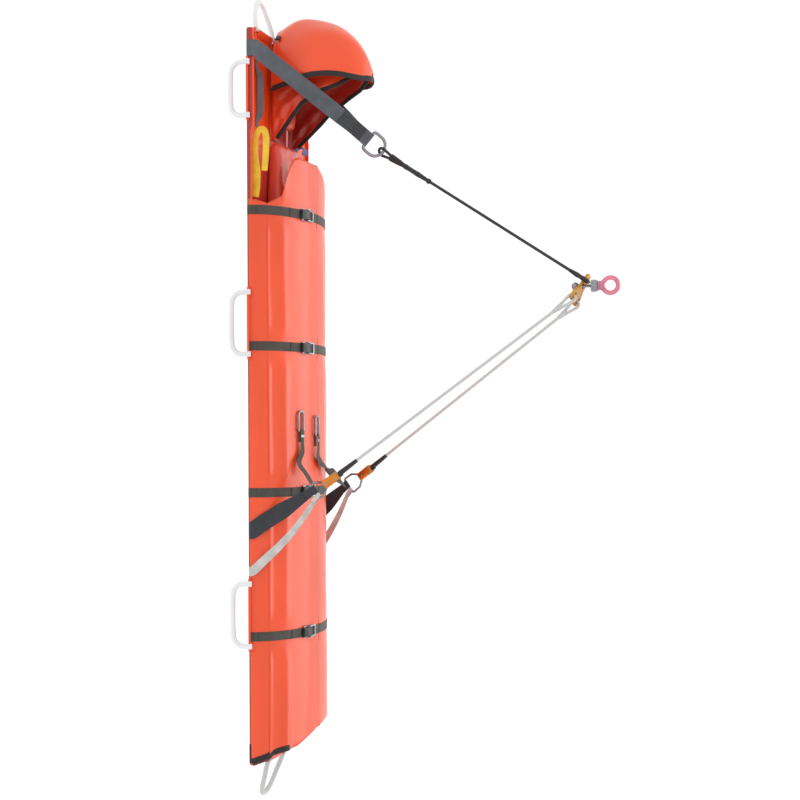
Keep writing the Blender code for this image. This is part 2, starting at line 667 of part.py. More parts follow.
def make_adjusters():
    """Rope grab bodies with a bail below for the slings, and the cam that bites the rope."""
    for side, word in ((-1, "near"), (1, "far")):
        centre, a, b, c = adjuster_axes(side)
        place = Matrix((a, b, c)).transposed().to_4x4()
        place.translation = centre
        body = block(f"adjuster_{word}", (-0.024, -0.0115, -0.0080), (0.026, 0.0115, 0.0080), "orange",
                     bevel=0.0025, segments=2)
        slot = block("slot", (-0.016, -0.0056, -0.0052), (0.040, 0.0100, 0.0052), "orange")
        half = [(-0.020, 0.0085), (-0.040, 0.0225), (0.0045 - BAIL[side], 0.0235), (-BAIL[side], 0.0195)]
        bail_path = [(x, -y, 0) for x, y in half] + [(x, y, 0) for x, y in half[::-1]]
        bail = tube("bail", bail_path, 0.0032, "orange", level=1)
        body = combine(body, [bail])
        mouth = block("mouth", (0.0060, -0.0030, -0.0052), (0.040, 0.0200, 0.0052), "orange")
        body = combine(body, [slot, mouth], "DIFFERENCE")
        pin = cylinder("pin", (0.014, CAM_B, -0.0065), (0.014, CAM_B, 0.0065), 0.0016, "orange", 12)
        body = combine(body, [pin])
        body.data.transform(place)
        cam = block(f"cam_{word}", (0.0118, 0.0043, -0.0044), (0.0370, 0.0096, 0.0044), "black", bevel=0.001,
                    segments=1)
        bore = cylinder("bore", (0.014, CAM_B, -0.02), (0.014, CAM_B, 0.02), 0.0020, "black", 12)
        cam = combine(cam, [bore], "DIFFERENCE")
        cam.data.transform(place)
        set_pivot(cam, place @ Vector((0.014, CAM_B, 0)))


def hook_path(bar, come, around, turn, back):
    """Points of a band that arrives along come, turns round a bar and runs back alongside itself."""
    come = come.normalized()
    side = around.cross(come).normalized()
    path = [bar - come * 0.014 + side * turn]
    path += [bar + side * turn * math.cos(math.radians(t)) + come * turn * math.sin(math.radians(t))
             for t in range(0, 181, 30)]
    return path + [bar - come * back - side * turn]


def make_leg_sling(name, base_x, width, bar_off, bar_width, bow, taper, colour, out, back):
    """A band under the base whose two ends turn round the bails of the adjusters."""
    halves = []
    for side in (-1, 1):
        centre, a, b, c = adjuster_axes(side)
        bar = centre - a * BAIL[side] + b * bar_off
        edge = high(base_x, side * (HALF_W + out + 0.0010), 0.010)
        come = (bar - edge).normalized()
        hook = hook_path(bar, come, b * side, 0.0032 + GAP + WEB_T / 2, back)
        points, across, widths = [edge], [Vector((1, 0, 0))], [width]
        bulge = Vector((0.6, -side * 0.15, 0.8)).normalized() * bow
        for k in (0.18, 0.36, 0.54, 0.72, 0.86):
            p = edge.lerp(hook[0], k) + bulge * math.sin(math.pi * k)
            p.y += side * 0.004 * math.sin(math.pi * min(1.0, 2 * k))
            points.append(p)
            turn = Vector((1, 0, 0)).lerp(b, min(1.0, k * 1.3))
            across.append(turn)
            widths.append(width + (bar_width - width) * max(0.0, (k - taper) / (1 - taper)))
        points += hook
        across += [b] * len(hook)
        widths += [bar_width] * len(hook)
        halves.append((points, across, widths))
    bottom = [high(base_x, y, h) for y, h in bottom_run(out)]
    near, far = halves
    points = near[0][::-1] + bottom + far[0]
    across = [v for v in near[1][::-1]] + [Vector((1, 0, 0))] * len(bottom) + far[1]
    widths = near[2][::-1] + [width] * len(bottom) + far[2]
    return strip(name, points, across, colour, widths)


def make_tails():
    """The two spare webbing tails that lie on the crown, each ending in an oval ring."""
    for word, x, angle, start in (("near", 0.388, 61.5, -1), ("far", 0.400, 85.0, 1)):
        place = shell_frame(-1, angle, x)
        rod = 0.0030
        lift = 0.0066
        path = arc(Vector((-0.0475, 0, lift)), Vector((0, 1, 0)), Vector((-1, 0, 0)), 0.0110, 0, 180, 6)
        path += [Vector((x, y, lift)) for x, y in ((-0.011, -0.0112), (-0.006, -0.0112), (-0.004, -0.0090),
                                                   (-0.004, 0.0090), (-0.006, 0.0112), (-0.011, 0.0112))]
        ring = as_mesh(tube(f"tail_ring_{word}", path, rod, "steel", closed=True, level=1))
        ring.data.transform(place)
        set_pivot(ring, hinge_point(-1))
        turn = rod + GAP + WEB_T / 2
        local = [Vector((0.026, 0, lift - turn))]
        local += [Vector((-0.0040, 0, lift)) + Vector((-math.sin(t), 0, -math.cos(t))) * turn
                  for t in (0, 0.6, 1.2, math.pi / 2, 1.94, 2.54, math.pi)]
        local += [Vector((0.030, 0, lift + turn)), Vector((0.055, 0, lift + turn * 0.8))]
        centre, a, b, c = adjuster_axes(start)
        end = centre - a * (BAIL[start] + 0.002) - b * 0.004 - c * start * 0.013
        points = [place @ p for p in local]
        slope = place.to_3x3() @ Vector((0, 1, 0))
        across = [slope] * len(points)
        if word == "near":
            middle = [on_shell(-1, 57.5, 0.470, 0.010), on_shell(-1, 60.0, 0.505, 0.030)]
            middle_across = [slope, slope]
        else:
            middle = [on_shell(-1, 89.0, 0.470, 0.010), high(0.486, 0.035, 0.1340),
                      high(0.506, 0.085, 0.1350)]
            middle_across = [slope, Vector((0.3, 1, 0)), Vector((0.6, 0.7, -0.3))]
        points += middle + [end]
        across += middle_across + [b]
        wide = 0.019 if word == "near" else 0.023
        widths = [0.013] * (len(local) - 1) + [0.019] + [wide] * len(middle) + [0.018]
        strip(f"tail_{word}", points, across, "webbing", widths)


def make_inside():
    """What the shoulder opening shows: pads, shoulder straps and the harness webbing."""
    low = BASE_T + GAP + 0.0048
    y, top, back = 0.151, 0.036, -0.380
    path = [high(-0.19, y, low), high(-0.30, y, low), high(back + 0.045, y, low)]
    path += arc(high(back, y, (low + top) / 2), Vector((0, 0, -1)), Vector((-1, 0, 0)), (top - low) / 2,
                0, 180, 8)
    path += [high(back + 0.05, y, top), high(back + 0.12, y, top - 0.003), high(-0.250, y, top - 0.010)]
    strip("shoulder_strap_far", path, [Vector((0, 1, 0))] * len(path), "yellow", 0.034, 0.003)
    standing = [(-0.252, 0.0175, 0.020), (-0.285, 0.0195, 0.025), (-0.325, 0.0200, 0.026),
                (-0.365, 0.0175, 0.020), (-0.402, 0.0185, 0.018), (-0.424, 0.0240, 0.017),
                (-0.4355, 0.0335, 0.017), (-0.433, 0.0430, 0.017), (-0.418, 0.0490, 0.018),
                (-0.390, 0.0500, 0.018), (-0.355, 0.0485, 0.018), (-0.322, 0.0450, 0.016)]
    path = [high(x, -0.205, h) for x, h, _ in standing]
    across = []
    for before, after in zip([path[0]] + path, path[1:] + [path[-1]]):
        across.append((after - before).cross(Vector((0, 1, 0))).normalized())
    strip("shoulder_strap_near", path, across, "yellow", [w for _, _, w in standing], 0.003)
    flat, raised = Vector((0, 1, 0)), Vector((0, 0.75, 0.66))
    rest = BASE_T + GAP + WEB_T / 2
    web = [(-0.635, -0.166, rest, flat), (-0.610, -0.166, rest + 0.0005, flat),
           (-0.585, -0.166, 0.018, raised), (-0.555, -0.166, 0.022, raised), (-0.520, -0.166, 0.022, raised),
           (-0.490, -0.165, 0.017, raised), (-0.470, -0.164, rest + 0.0005, flat),
           (-0.450, -0.164, rest, flat)]
    strip("harness_web", [high(*p[:3]) for p in web], [p[3] for p in web], "slate", 0.022)
    pad = block("chest_pad", (-0.425, -0.128, BASE_Z + 0.0108), (-0.150, 0.128, BASE_Z + 0.070), "liner",
                bevel=0.020, segments=3)
    for v in pad.data.vertices:
        x, y, h = v.co.x, v.co.y, v.co.z - BASE_Z
        headward = max(0.0, -0.34 - x)
        v.co.y *= 1 - 4 * headward
        v.co.z -= (h - 0.0108) / 0.0592 * (0.06 * y * y + 0.3 * headward)
    block("head_cushion", (-0.626, -0.046, BASE_Z + 0.0105), (-0.475, 0.046, BASE_Z + 0.045), "liner",
          bevel=0.014, segments=3)
    frame = block("harness_buckle", (-0.300, -0.108, BASE_Z + 0.0716), (-0.268, -0.084, BASE_Z + 0.0750),
                  "steel", bevel=0.001, segments=1)
    holes = [block("slot", (x, -0.103, BASE_Z + 0.06), (x + 0.008, -0.089, BASE_Z + 0.08), "steel")
             for x in (-0.295, -0.281)]
    combine(frame, holes, "DIFFERENCE")


def main():
    clear_scene()
    make_base()
    make_flap(-1, "near", NEAR_HEAD_EDGE, NEAR_FOOT_EDGE)
    make_flap(1, "far", FAR_HEAD_EDGE, FAR_FOOT_EDGE)
    make_straps()
    make_buckles()
    make_handles()
    make_hood()
    make_collar()
    bar, down, slant = make_head_sling()
    crown = make_d_ring(bar, down, slant)
    make_plate()
    make_swivel()
    make_adjusters()
    side = Vector((0, 1, 0))
    head_web = plate_point(LOBE_HEAD, -0.0124)
    head_way = (crown - head_web).normalized()
    head_plane = head_way.cross(plate_point(0, 1) - plate_point(0))
    make_rope("head_rope", (crown, 0.0125, 0.036, slant + side, 0.035),
              (head_web, 0.0130, 0.028, head_plane, 0.020), "black", thick_end=0.130)
    for way, word in ((-1, "near"), (1, "far")):
        centre, a, b, c = adjuster_axes(way)
        face = (plate_point(0, 0, 1) - plate_point(0)).normalized()
        hole = plate_point(LOBE_FOOT, way * LOBE_Y) - (a - face * a.dot(face)).normalized() * 0.0117
        low_end = centre - a * 0.010 - b * 0.0010
        top_eye = (hole, 0.0104, 0.040, a.cross(face), 0.022)
        make_rope(f"foot_rope_{word}", (low_end, 0, 0, side, 0), top_eye, "grey")
    out = GAP + WEB_T / 2
    make_leg_sling("mid_sling", MID_X, MID_W, -0.0070, 0.0220, 0.0, 0.55, "black", out, 0.030)
    make_leg_sling("grey_sling", GREY_X, GREY_W, 0.0125, 0.0120, 0.012, 0.10, "grey", out, 0.024)
    make_tails()
    make_inside()


main()
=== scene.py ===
"""Cave rescue stretcher: the dressed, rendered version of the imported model."""

import json
from math import acos, copysign, cos, degrees, exp, pi, radians, sin

import bmesh
import bpy
import numpy as np
from numpy import linspace
from mathutils import Matrix, Vector


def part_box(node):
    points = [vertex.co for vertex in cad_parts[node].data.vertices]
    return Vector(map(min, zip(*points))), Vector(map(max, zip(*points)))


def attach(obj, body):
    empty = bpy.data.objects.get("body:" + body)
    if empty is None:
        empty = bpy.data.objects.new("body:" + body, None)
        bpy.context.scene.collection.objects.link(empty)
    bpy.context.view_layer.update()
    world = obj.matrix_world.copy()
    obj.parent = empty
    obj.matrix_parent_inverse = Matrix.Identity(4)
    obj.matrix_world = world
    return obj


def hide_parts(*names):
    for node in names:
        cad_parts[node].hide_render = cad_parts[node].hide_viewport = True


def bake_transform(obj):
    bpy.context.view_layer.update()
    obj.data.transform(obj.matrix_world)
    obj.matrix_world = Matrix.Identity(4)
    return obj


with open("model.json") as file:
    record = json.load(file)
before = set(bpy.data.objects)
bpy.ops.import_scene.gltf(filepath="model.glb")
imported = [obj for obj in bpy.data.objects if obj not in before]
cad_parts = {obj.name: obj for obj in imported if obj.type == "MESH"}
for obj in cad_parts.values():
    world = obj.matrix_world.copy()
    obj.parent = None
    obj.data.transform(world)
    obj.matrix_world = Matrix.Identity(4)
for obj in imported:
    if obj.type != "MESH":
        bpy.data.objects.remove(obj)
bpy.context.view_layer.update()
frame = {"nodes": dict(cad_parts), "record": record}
nodes = frame["nodes"]
bodies = frame["record"]["behaviour"]["bodies"]
body_of_node = {name: body for body, names in bodies.items() for name in names}

# ---- the model's own dimensions
BASE_Z, HEAD_X, FOOT_X, HALF_W, CROWN = -0.966, -0.710, 1.290, 0.222, 0.119
# the flaps' ends: (angle round the shell, x), near flank first
HEAD_EDGE = {
    -1: [(24, -0.2326), (41.5, -0.2586), (44.9, -0.3035), (50.7, -0.3388), (56.8, -0.3665), (61.8, -0.3719),
         (77.4, -0.3674), (90, -0.3675)],
    1: [(24, -0.2326), (50, -0.300), (60, -0.325), (74, -0.348), (82, -0.360), (90, -0.3675)]}
FOOT_EDGE = {
    -1: [(24, 1.2675), (42.7, 1.2565), (56.8, 1.2515), (69.9, 1.2356), (86.1, 1.2185), (90, 1.2170)],
    1: [(24, 1.242), (40, 1.225), (50, 1.208), (60, 1.2055), (74, 1.2090), (82, 1.2130), (90, 1.2165)]}
FOOT_TRIM = {-1: 0.022, 1: 0.055}  # how far each side wall leans back at the foot end, at TRIM_H
TRIM_H = 0.06
LOW_WALL, WALL_TOP, OPENING_X = 6.2, 27.4, -0.244  # the side wall's top edge, as angles, and where it steps
# the welded ridges: how high on each side, the fold's angle, and how far the near one's second is above it
FOLD_RIDGE, UPPER_RIDGE = {-1: 0.0074, 1: 0.0030}, {-1: 0.0066, 1: 0.0}
FOLD_AT, UPPER_ABOVE = 24.4, 19.4
SKIN_T, LINING_T = 0.0016, 0.0008
STRAP_X = [-0.216, 0.153, 0.551, 0.941]
STRAP_W, GAP, WEB_T, CHANNEL = 0.025, 0.0004, 0.0015, 0.0022
WEB_MID = GAP + WEB_T / 2  # from a surface to the middle of a web that lies on it
HANDLE_R, ROD_OFF, ROD_H = 0.0068, 0.0105, 0.0062
SIDE_HANDLES = [(-0.615, -0.470), (0.008, 0.176), (0.797, 0.966)]
SIDE_DROP = 0.047
CUFF = [(0, 0.0035), (0, 0.0068), (0.0006, 0.0073), (0.0138, 0.0073), (0.0144, 0.0068), (0.0144, 0.0035)]
# end, its edge, outward way, the rod's two ends, the loop's drop and its droop in degrees
END_HANDLES = (("head", HEAD_X, -1, (-0.165, -0.045), 0.088, 9.0),
               ("foot", FOOT_X, 1, (-0.100, 0.012), 0.108, 19.0))
SLING_X, SLING_W = -0.653, 0.044
MID_X, MID_W, GREY_X, GREY_W = 0.654, 0.045, 0.764, 0.025
DBAR = Vector((-0.430, 0.0, 0.275))
DRING_W, DRING_DEEP, DRING_R, ROPE_R = 0.057, 0.056, 0.004, 0.0042
PLATE_Z, PLATE_TILT, PLATE_YAW = -0.090, 29.0, -15.0
LOBE_HEAD, LOBE_FOOT, LOBE_Y = -0.016, 0.036, 0.024
ADJ = {-1: (0.518, -0.172, 0.2195), 1: (0.505, 0.172, 0.2035)}
BAIL = {-1: 0.050, 1: 0.070}
BAIL_FROM = -0.0205  # along an adjuster, where its wire bail begins
EYE_R, EYE_STOCK = 0.0205, 0.0062
HOOD = [  # height, back, rim and half width
    (0.022, -0.752, -0.570, 0.098), (0.054, -0.769, -0.575, 0.108), (0.094, -0.776, -0.586, 0.114),
    (0.133, -0.773, -0.596, 0.115), (0.172, -0.761, -0.600, 0.109), (0.210, -0.739, -0.600, 0.095),
    (0.246, -0.706, -0.596, 0.071), (0.270, -0.668, -0.594, 0.045), (0.284, -0.632, -0.596, 0.022),
]
HOOD_REACH, RIM_TOP = 0.85, 0.272
COLLAR_W = 0.078
WORDS = {-1: "near", 1: "far"}
X_AXIS, Y_AXIS, Z_AXIS = Vector((1, 0, 0)), Vector((0, 1, 0)), Vector((0, 0, 1))
BACKDROP, SKY, FLOOR_Z = 1.0, 0.88, -3.0  # the background as seen, as light, and the floor's height


def srgb(*screen):
    """0-255 screen colour to linear."""
    return tuple(c / 255 / 12.92 if c <= 10 else ((c / 255 + 0.055) / 1.055) ** 2.4 for c in screen) + (1.0,)


def add_object(name, data):
    obj = bpy.data.objects.new(name, data)
    bpy.context.collection.objects.link(obj)
    return obj


# ---- camera, floor and light
def set_camera():
    """A long lens from the near flank, looking slightly down, with the head end up in the picture."""
    tilt, roll = radians(17.0), radians(-0.27)
    cam = bpy.data.cameras.new("camera")
    cam.lens, cam.sensor_width = 68.0, 36.0
    cam.shift_y = 0.05
    cam.clip_end = 400.0
    obj = add_object("camera", cam)
    back = Vector((0, -cos(tilt), sin(tilt)))
    lean = Matrix.Rotation(roll, 3, back)
    right = lean @ Vector((0, sin(tilt), cos(tilt)))
    axes = Matrix((right, lean @ -X_AXIS, back)).transposed().to_4x4()
    obj.matrix_world = Matrix.Translation((0.410, -4.0165, 0.625)) @ axes
    bpy.context.scene.camera = obj


def set_stage():
    bm = bmesh.new()
    bmesh.ops.create_grid(bm, x_segments=2, y_segments=2, size=170.0)
    bmesh.ops.translate(bm, verts=bm.verts, vec=(0, 0, FLOOR_Z))
    mesh = bpy.data.meshes.new("floor")
    bm.to_mesh(mesh)
    bm.free()
    floor = add_object("floor", mesh)
    paper = Nodes("floor_paper", (0.97, 0.97, 0.97, 1), 1.0, Specular_IOR_Level=0.0)
    mesh.materials.append(paper.mat)
    world = bpy.data.worlds.new("studio")
    world.use_nodes = True
    tree = world.node_tree
    back = tree.nodes["Background"]
    back.inputs["Color"].default_value = (1, 1, 1, 1)
    # full white where it is seen or mirrored, a little less where it only lights
    path = tree.nodes.new("ShaderNodeLightPath")
    seen = tree.nodes.new("ShaderNodeMath")
    seen.operation = "MAXIMUM"
    mix = tree.nodes.new("ShaderNodeMapRange")
    mix.inputs["To Min"].default_value, mix.inputs["To Max"].default_value = SKY, BACKDROP
    tree.links.new(path.outputs["Is Camera Ray"], seen.inputs[0])
    tree.links.new(path.outputs["Is Glossy Ray"], seen.inputs[1])
    tree.links.new(seen.outputs["Value"], mix.inputs["Value"])
    tree.links.new(mix.outputs["Result"], back.inputs["Strength"])
    bpy.context.scene.world = world
    sun = bpy.data.lights.new("soft_sky", "SUN")
    sun.energy, sun.angle = 0.80, radians(46)
    lamp = add_object("soft_sky", sun)
    lamp.rotation_euler = Vector((0.12, -0.53, -0.85)).to_track_quat("-Z", "Y").to_euler()
    bpy.context.scene.view_settings.view_transform = "Standard"


# ---- materials
class Nodes:
    """Small helper to build one material's node tree."""

    def __init__(self, name, colour, rough=0.5, metal=0.0, **more):
        self.mat = bpy.data.materials.new(name)
        self.mat.use_nodes = True
        self.tree = self.mat.node_tree
        self.link = self.tree.links.new
        self.inputs = self.tree.nodes["Principled BSDF"].inputs
        for key, value in {"Base Color": colour, "Roughness": rough, "Metallic": metal, **more}.items():
            self.inputs[key.replace("_", " ")].default_value = value
        coord = self.node("ShaderNodeTexCoord")
        self.place, self.uv = coord.outputs["Object"], coord.outputs["UV"]

    def node(self, kind, **values):
        made = self.tree.nodes.new(kind)
        for key, value in values.items():
            if hasattr(made, key):
                setattr(made, key, value)
            else:
                made.inputs[key.replace("_", " ")].default_value = value
        return made

    def noise(self, scale, detail, stretch=(1.0, 1.0, 1.0)):
        tex = self.node("ShaderNodeTexNoise", Scale=scale, Detail=detail)
        mapping = self.node("ShaderNodeMapping", Scale=stretch)
        self.link(self.place, mapping.inputs["Vector"])
        self.link(mapping.outputs["Vector"], tex.inputs["Vector"])
        return tex.outputs["Fac"]

    def paint(self, fac, dark, light, low=0.35, high=0.65):
        """The base colour: a ramp between two tones."""
        ramp = self.node("ShaderNodeValToRGB")
        for stop, place, tone in zip(ramp.color_ramp.elements, (low, high), (dark, light)):
            stop.position, stop.color = place, tone
        self.link(fac, ramp.inputs["Fac"])
        self.link(ramp.outputs["Color"], self.inputs["Base Color"])

    def gloss(self, fac, low, high):
        """An uneven roughness between two values."""
        made = self.node("ShaderNodeMapRange", To_Min=low, To_Max=high)
        self.link(fac, made.inputs["Value"])
        self.link(made.outputs["Result"], self.inputs["Roughness"])

    def calc(self, how, *values):
        made = self.node("ShaderNodeMath", operation=how)
        for socket, value in zip(made.inputs, values):
            if isinstance(value, (int, float)):
                socket.default_value = value
            else:
                self.link(value, socket)
        return made.outputs[0]

    def uv_times(self, across, along):
        """The two numbers of the piece's own UV, each multiplied."""
        split = self.node("ShaderNodeSeparateXYZ")
        self.link(self.uv, split.inputs["Vector"])
        return [self.calc("MULTIPLY", split.outputs[axis], k) for axis, k in (("X", across), ("Y", along))]

    def bump(self, fac, strength, distance, before=None):
        made = self.node("ShaderNodeBump", Strength=strength, Distance=distance)
        self.link(fac, made.inputs["Height"])
        if before is not None:
            self.link(before, made.inputs["Normal"])
        self.link(made.outputs["Normal"], self.inputs["Normal"])
        return made.outputs["Normal"]


def scaled(colour, k):
    return tuple(min(1.0, c * k) for c in colour[:3]) + (1.0,)


def plain(name, colour, rough, grain=80.0, vary=0.12):
    """A finish with fine grain and a slow change of tone."""
    m = Nodes(name, colour, rough)
    m.paint(m.noise(6.0, 2.0), scaled(colour, 1 - vary), scaled(colour, 1 + vary))
    m.bump(m.noise(grain, 4.0), 0.1, 0.001)
    return m.mat


def coated(name, colour, rough=0.3):
    """Coated fabric: faint scrim weave under a glossy skin, with soft scuffs."""
    m = Nodes(name, colour, rough, Coat_Weight=0.22, Coat_Roughness=0.12)
    m.paint(m.noise(5.0, 3.0, (0.6, 1.0, 1.0)), scaled(colour, 0.93), scaled(colour, 1.06))
    m.gloss(m.noise(22.0, 4.0), rough - 0.05, rough + 0.10)
    creases = m.bump(m.noise(9.0, 2.0, (0.35, 1.0, 1.0)), 0.25, 0.006)
    m.bump(m.noise(900.0, 1.0), 0.10, 0.0004, creases)
    return m.mat


def woven(name, colour, rough=0.8, pitch=0.0014):
    """Webbing: ribs across and threads along, from the piece's own measured UV."""
    m = Nodes(name, colour, rough, Sheen_Weight=0.15)
    across, along = m.uv_times(2 * pi / (pitch * 0.8), 2 * pi / pitch)
    weave = m.calc("MULTIPLY", m.calc("SINE", along), m.calc("SINE", across))
    fac = m.calc("ADD", m.calc("MULTIPLY", weave, 0.25), m.noise(40.0, 4.0))
    m.paint(fac, scaled(colour, 0.78), scaled(colour, 1.2), 0.3, 0.75)
    m.bump(fac, 0.5, 0.0005)
    return m.mat


def braided(name, colour, dark, turns=8.0, pitch=0.011):
    """Kernmantle sheath: two crossing sets of strands, from the rope's own UV."""
    m = Nodes(name, colour, 0.75, Sheen_Weight=0.15)
    around, along = m.uv_times(2 * pi * turns, 2 * pi / pitch)
    strands = [m.calc("SINE", m.calc(how, around, along)) for how in ("ADD", "SUBTRACT")]
    fac = m.calc("ADD", m.calc("MULTIPLY", m.calc("MAXIMUM", *strands), 0.5), 0.4)
    m.paint(fac, dark, colour, 0.2, 0.8)
    m.bump(fac, 0.7, 0.0008)
    return m.mat


def metal(name, colour, rough):
    """A turned or forged finish: fine marks in the gloss over slow changes of tone."""
    m = Nodes(name, colour, rough, 1.0)
    fine = m.noise(260.0, 3.0)
    m.gloss(fine, rough - 0.06, rough + 0.12)
    m.paint(m.noise(30.0, 3.0), scaled(colour, 0.86), scaled(colour, 1.08))
    m.bump(fine, 0.06, 0.0003)
    return m.mat


MATS = {
    "skin": coated("pvc_orange", (0.905, 0.081, 0.014, 1.0)),
    "collar": coated("pvc_collar", (0.76, 0.066, 0.018, 1.0), 0.30),
    # the orange PVC darkened as painted shade, for the collar's shaded insides and the head end of the flank
    "inner": coated("pvc_painted_shade", (0.42, 0.028, 0.015, 1.0), 0.38),
    "liner": coated("liner_red", srgb(232, 84, 66), 0.34),
    "webbing": woven("web_olive", srgb(74, 69, 62)),
    "binding": woven("binding_black", srgb(40, 31, 31), 0.75),
    "slate": woven("web_slate", srgb(92, 97, 105)),
    "slate_dark": woven("web_slate_dark", srgb(66, 69, 72)),
    "mid": woven("web_black", srgb(52, 54, 60)),
    "black": plain("black_plastic", srgb(34, 34, 36), 0.42),
    "blackp": plain("black_moulded", srgb(38, 38, 40), 0.38, grain=300.0),
    # the skin's edges in dark brown: painted shade along the bottom corner and the foot edge
    "edge_shade": plain("edge_shade_brown", srgb(104, 48, 42), 0.5),
    "pale": plain("pale_tube", srgb(236, 238, 239), 0.5, vary=0.03, grain=220.0),
    "palegrey": plain("pale_grey_tube", srgb(200, 203, 202), 0.45, vary=0.05, grain=220.0),
    "grey": braided("pale_rope", srgb(222, 222, 220), srgb(182, 182, 182)),
    "greyweb": woven("web_pale_grey", srgb(205, 203, 200)),
    "rope": braided("black_rope", srgb(54, 54, 56), srgb(30, 30, 32)),
    "steel": metal("steel", srgb(150, 152, 158), 0.24),
    "stitch": plain("stitch_grey", srgb(104, 108, 110), 0.8),
    "gold": metal("gold_alloy", srgb(202, 146, 66), 0.30),
    "orange": metal("orange_alloy", srgb(216, 134, 58), 0.30),
    "rose": metal("rose_alloy", srgb(222, 136, 156), 0.28),
    "yellow": woven("yellow_web", srgb(252, 200, 46), 0.7, 0.0018),
    "amber": woven("amber_edge", srgb(236, 150, 70), 0.7, 0.0018),
    "blue": woven("blue_tab", srgb(46, 104, 160), 0.7),
}
SLOT_OF = {"collar": "skin", "inner": "skin", "binding": "black", "slate_dark": "slate", "mid": "black",
           "edge_shade": "skin", "palegrey": "pale", "greyweb": "grey", "rope": "black", "amber": "yellow",
           "blue": "slate"}


# ---- shapes of the body
def table_at(table, at):
    return float(np.interp(at, [a for a, _ in table], [v for _, v in table]))


def clamp(t):
    return min(1.0, max(0.0, t))


def ease(t):
    t = clamp(t)
    return t * t * (3 - 2 * t)


def shell_point(side, angle, out=0.0):
    """(y, height) on the body's outer surface; side is -1 for the near flank."""
    a = radians(angle)
    n = Vector((cos(a) / HALF_W, sin(a) / CROWN)).normalized()
    return side * (HALF_W * cos(a) + n.x * out), CROWN * sin(a) + n.y * out


def on_shell(side, angle, x, out=0.0):
    y, h = shell_point(side, angle, out)
    return Vector((x, y, BASE_Z + h))


def shell_frame(side, angle, x):
    """A matrix at the surface: X stays, Y runs up towards the crown, Z points out."""
    a = radians(angle)
    n = Vector((0, side * cos(a) / HALF_W, sin(a) / CROWN)).normalized()
    t = n.cross(X_AXIS)
    m = Matrix(((1, t.x, n.x), (0, t.y, n.y), (0, t.z, n.z))).to_4x4()
    m.translation = on_shell(side, angle, x)
    return m


def high(x, y, h):
    return Vector((x, y, BASE_Z + h))


def arc(centre, u, v, radius, start, stop, steps):
    turns = [radians(start + (stop - start) * i / steps) for i in range(steps + 1)]
    return [centre + (u * cos(t) + v * sin(t)) * radius for t in turns]


def pinch(x):
    """0 under a strap, where the web draws the skin tight, and 1 between the straps."""
    keep = 1.0
    for strap in STRAP_X:
        keep *= ease((abs(x - strap) - 0.017) / 0.055)
    return keep


def swell(side, angle, x):
    """How far the coated skin stands off the plain shell: the welded ridges at the fold and soft waves."""
    at = angle - FOLD_AT - 0.8 * sin(4.1 * x + side) - 0.5 * sin(13 * x)
    ridge = FOLD_RIDGE[side] * exp(-((at / 3.2) ** 2)) * (0.85 + 0.15 * sin(11 * x + 2 * side))
    ridge += UPPER_RIDGE[side] * exp(-(((at - UPPER_ABOVE) / 4.8) ** 2)) * (0.8 + 0.2 * sin(7 * x + side))
    wave = 0.0011 * sin(6.3 * x + 0.055 * angle * side) * sin(radians(angle) * 3.2 + 2.1 * x)
    wave += 0.0005 * sin(17.0 * x + 0.11 * angle) * sin(0.19 * angle)
    return pinch(x) * (ridge + (wave + 0.0008) * ease((86 - angle) / 14) * ease((angle - 4) / 10))


# ---- making pieces
def dress(obj, mat, covers=(), body="litter", slot=None, fold=None):
    """Gives a piece its finish and hides the nodes it replaces; it is attached to its body, or, given a fold, only
    has its place baked in. The slot is not used.
    """
    obj.data.materials.clear()
    obj.data.materials.append(MATS[mat])
    if fold:
        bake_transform(obj)
    elif body:
        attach(obj, body)
    if covers:
        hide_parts(*covers)
    return obj


def mesh_piece(name, points, faces, uvs=None):
    mesh = bpy.data.meshes.new(name)
    mesh.from_pydata([tuple(p) for p in points], [], faces)
    mesh.update()
    if uvs:
        layer = mesh.uv_layers.new(name="UVMap")
        layer.data.foreach_set("uv", [c for face in uvs for uv in face for c in uv])
    mesh.shade_smooth()
    return add_object(name, mesh)


def solid_mesh(node, name, merge_faces=False):
    """A node's solid as a new mesh, its doubled corners merged."""
    bm = bmesh.new()
    bm.from_mesh(nodes[node].data)
    bmesh.ops.remove_doubles(bm, verts=bm.verts, dist=2e-6)
    if merge_faces:
        bmesh.ops.dissolve_limit(bm, angle_limit=radians(1.5), verts=bm.verts, edges=bm.edges)
    mesh = bpy.data.meshes.new(name)
    bm.to_mesh(mesh)
    bm.free()
    return mesh


def keep_faces(mesh, wanted):
    """Leaves only the faces whose middle passes the test."""
    bm = bmesh.new()
    bm.from_mesh(mesh)
    drop = [f for f in bm.faces if not wanted(f.calc_center_median())]
    bmesh.ops.delete(bm, geom=drop, context="FACES")
    bm.to_mesh(mesh)
    bm.free()


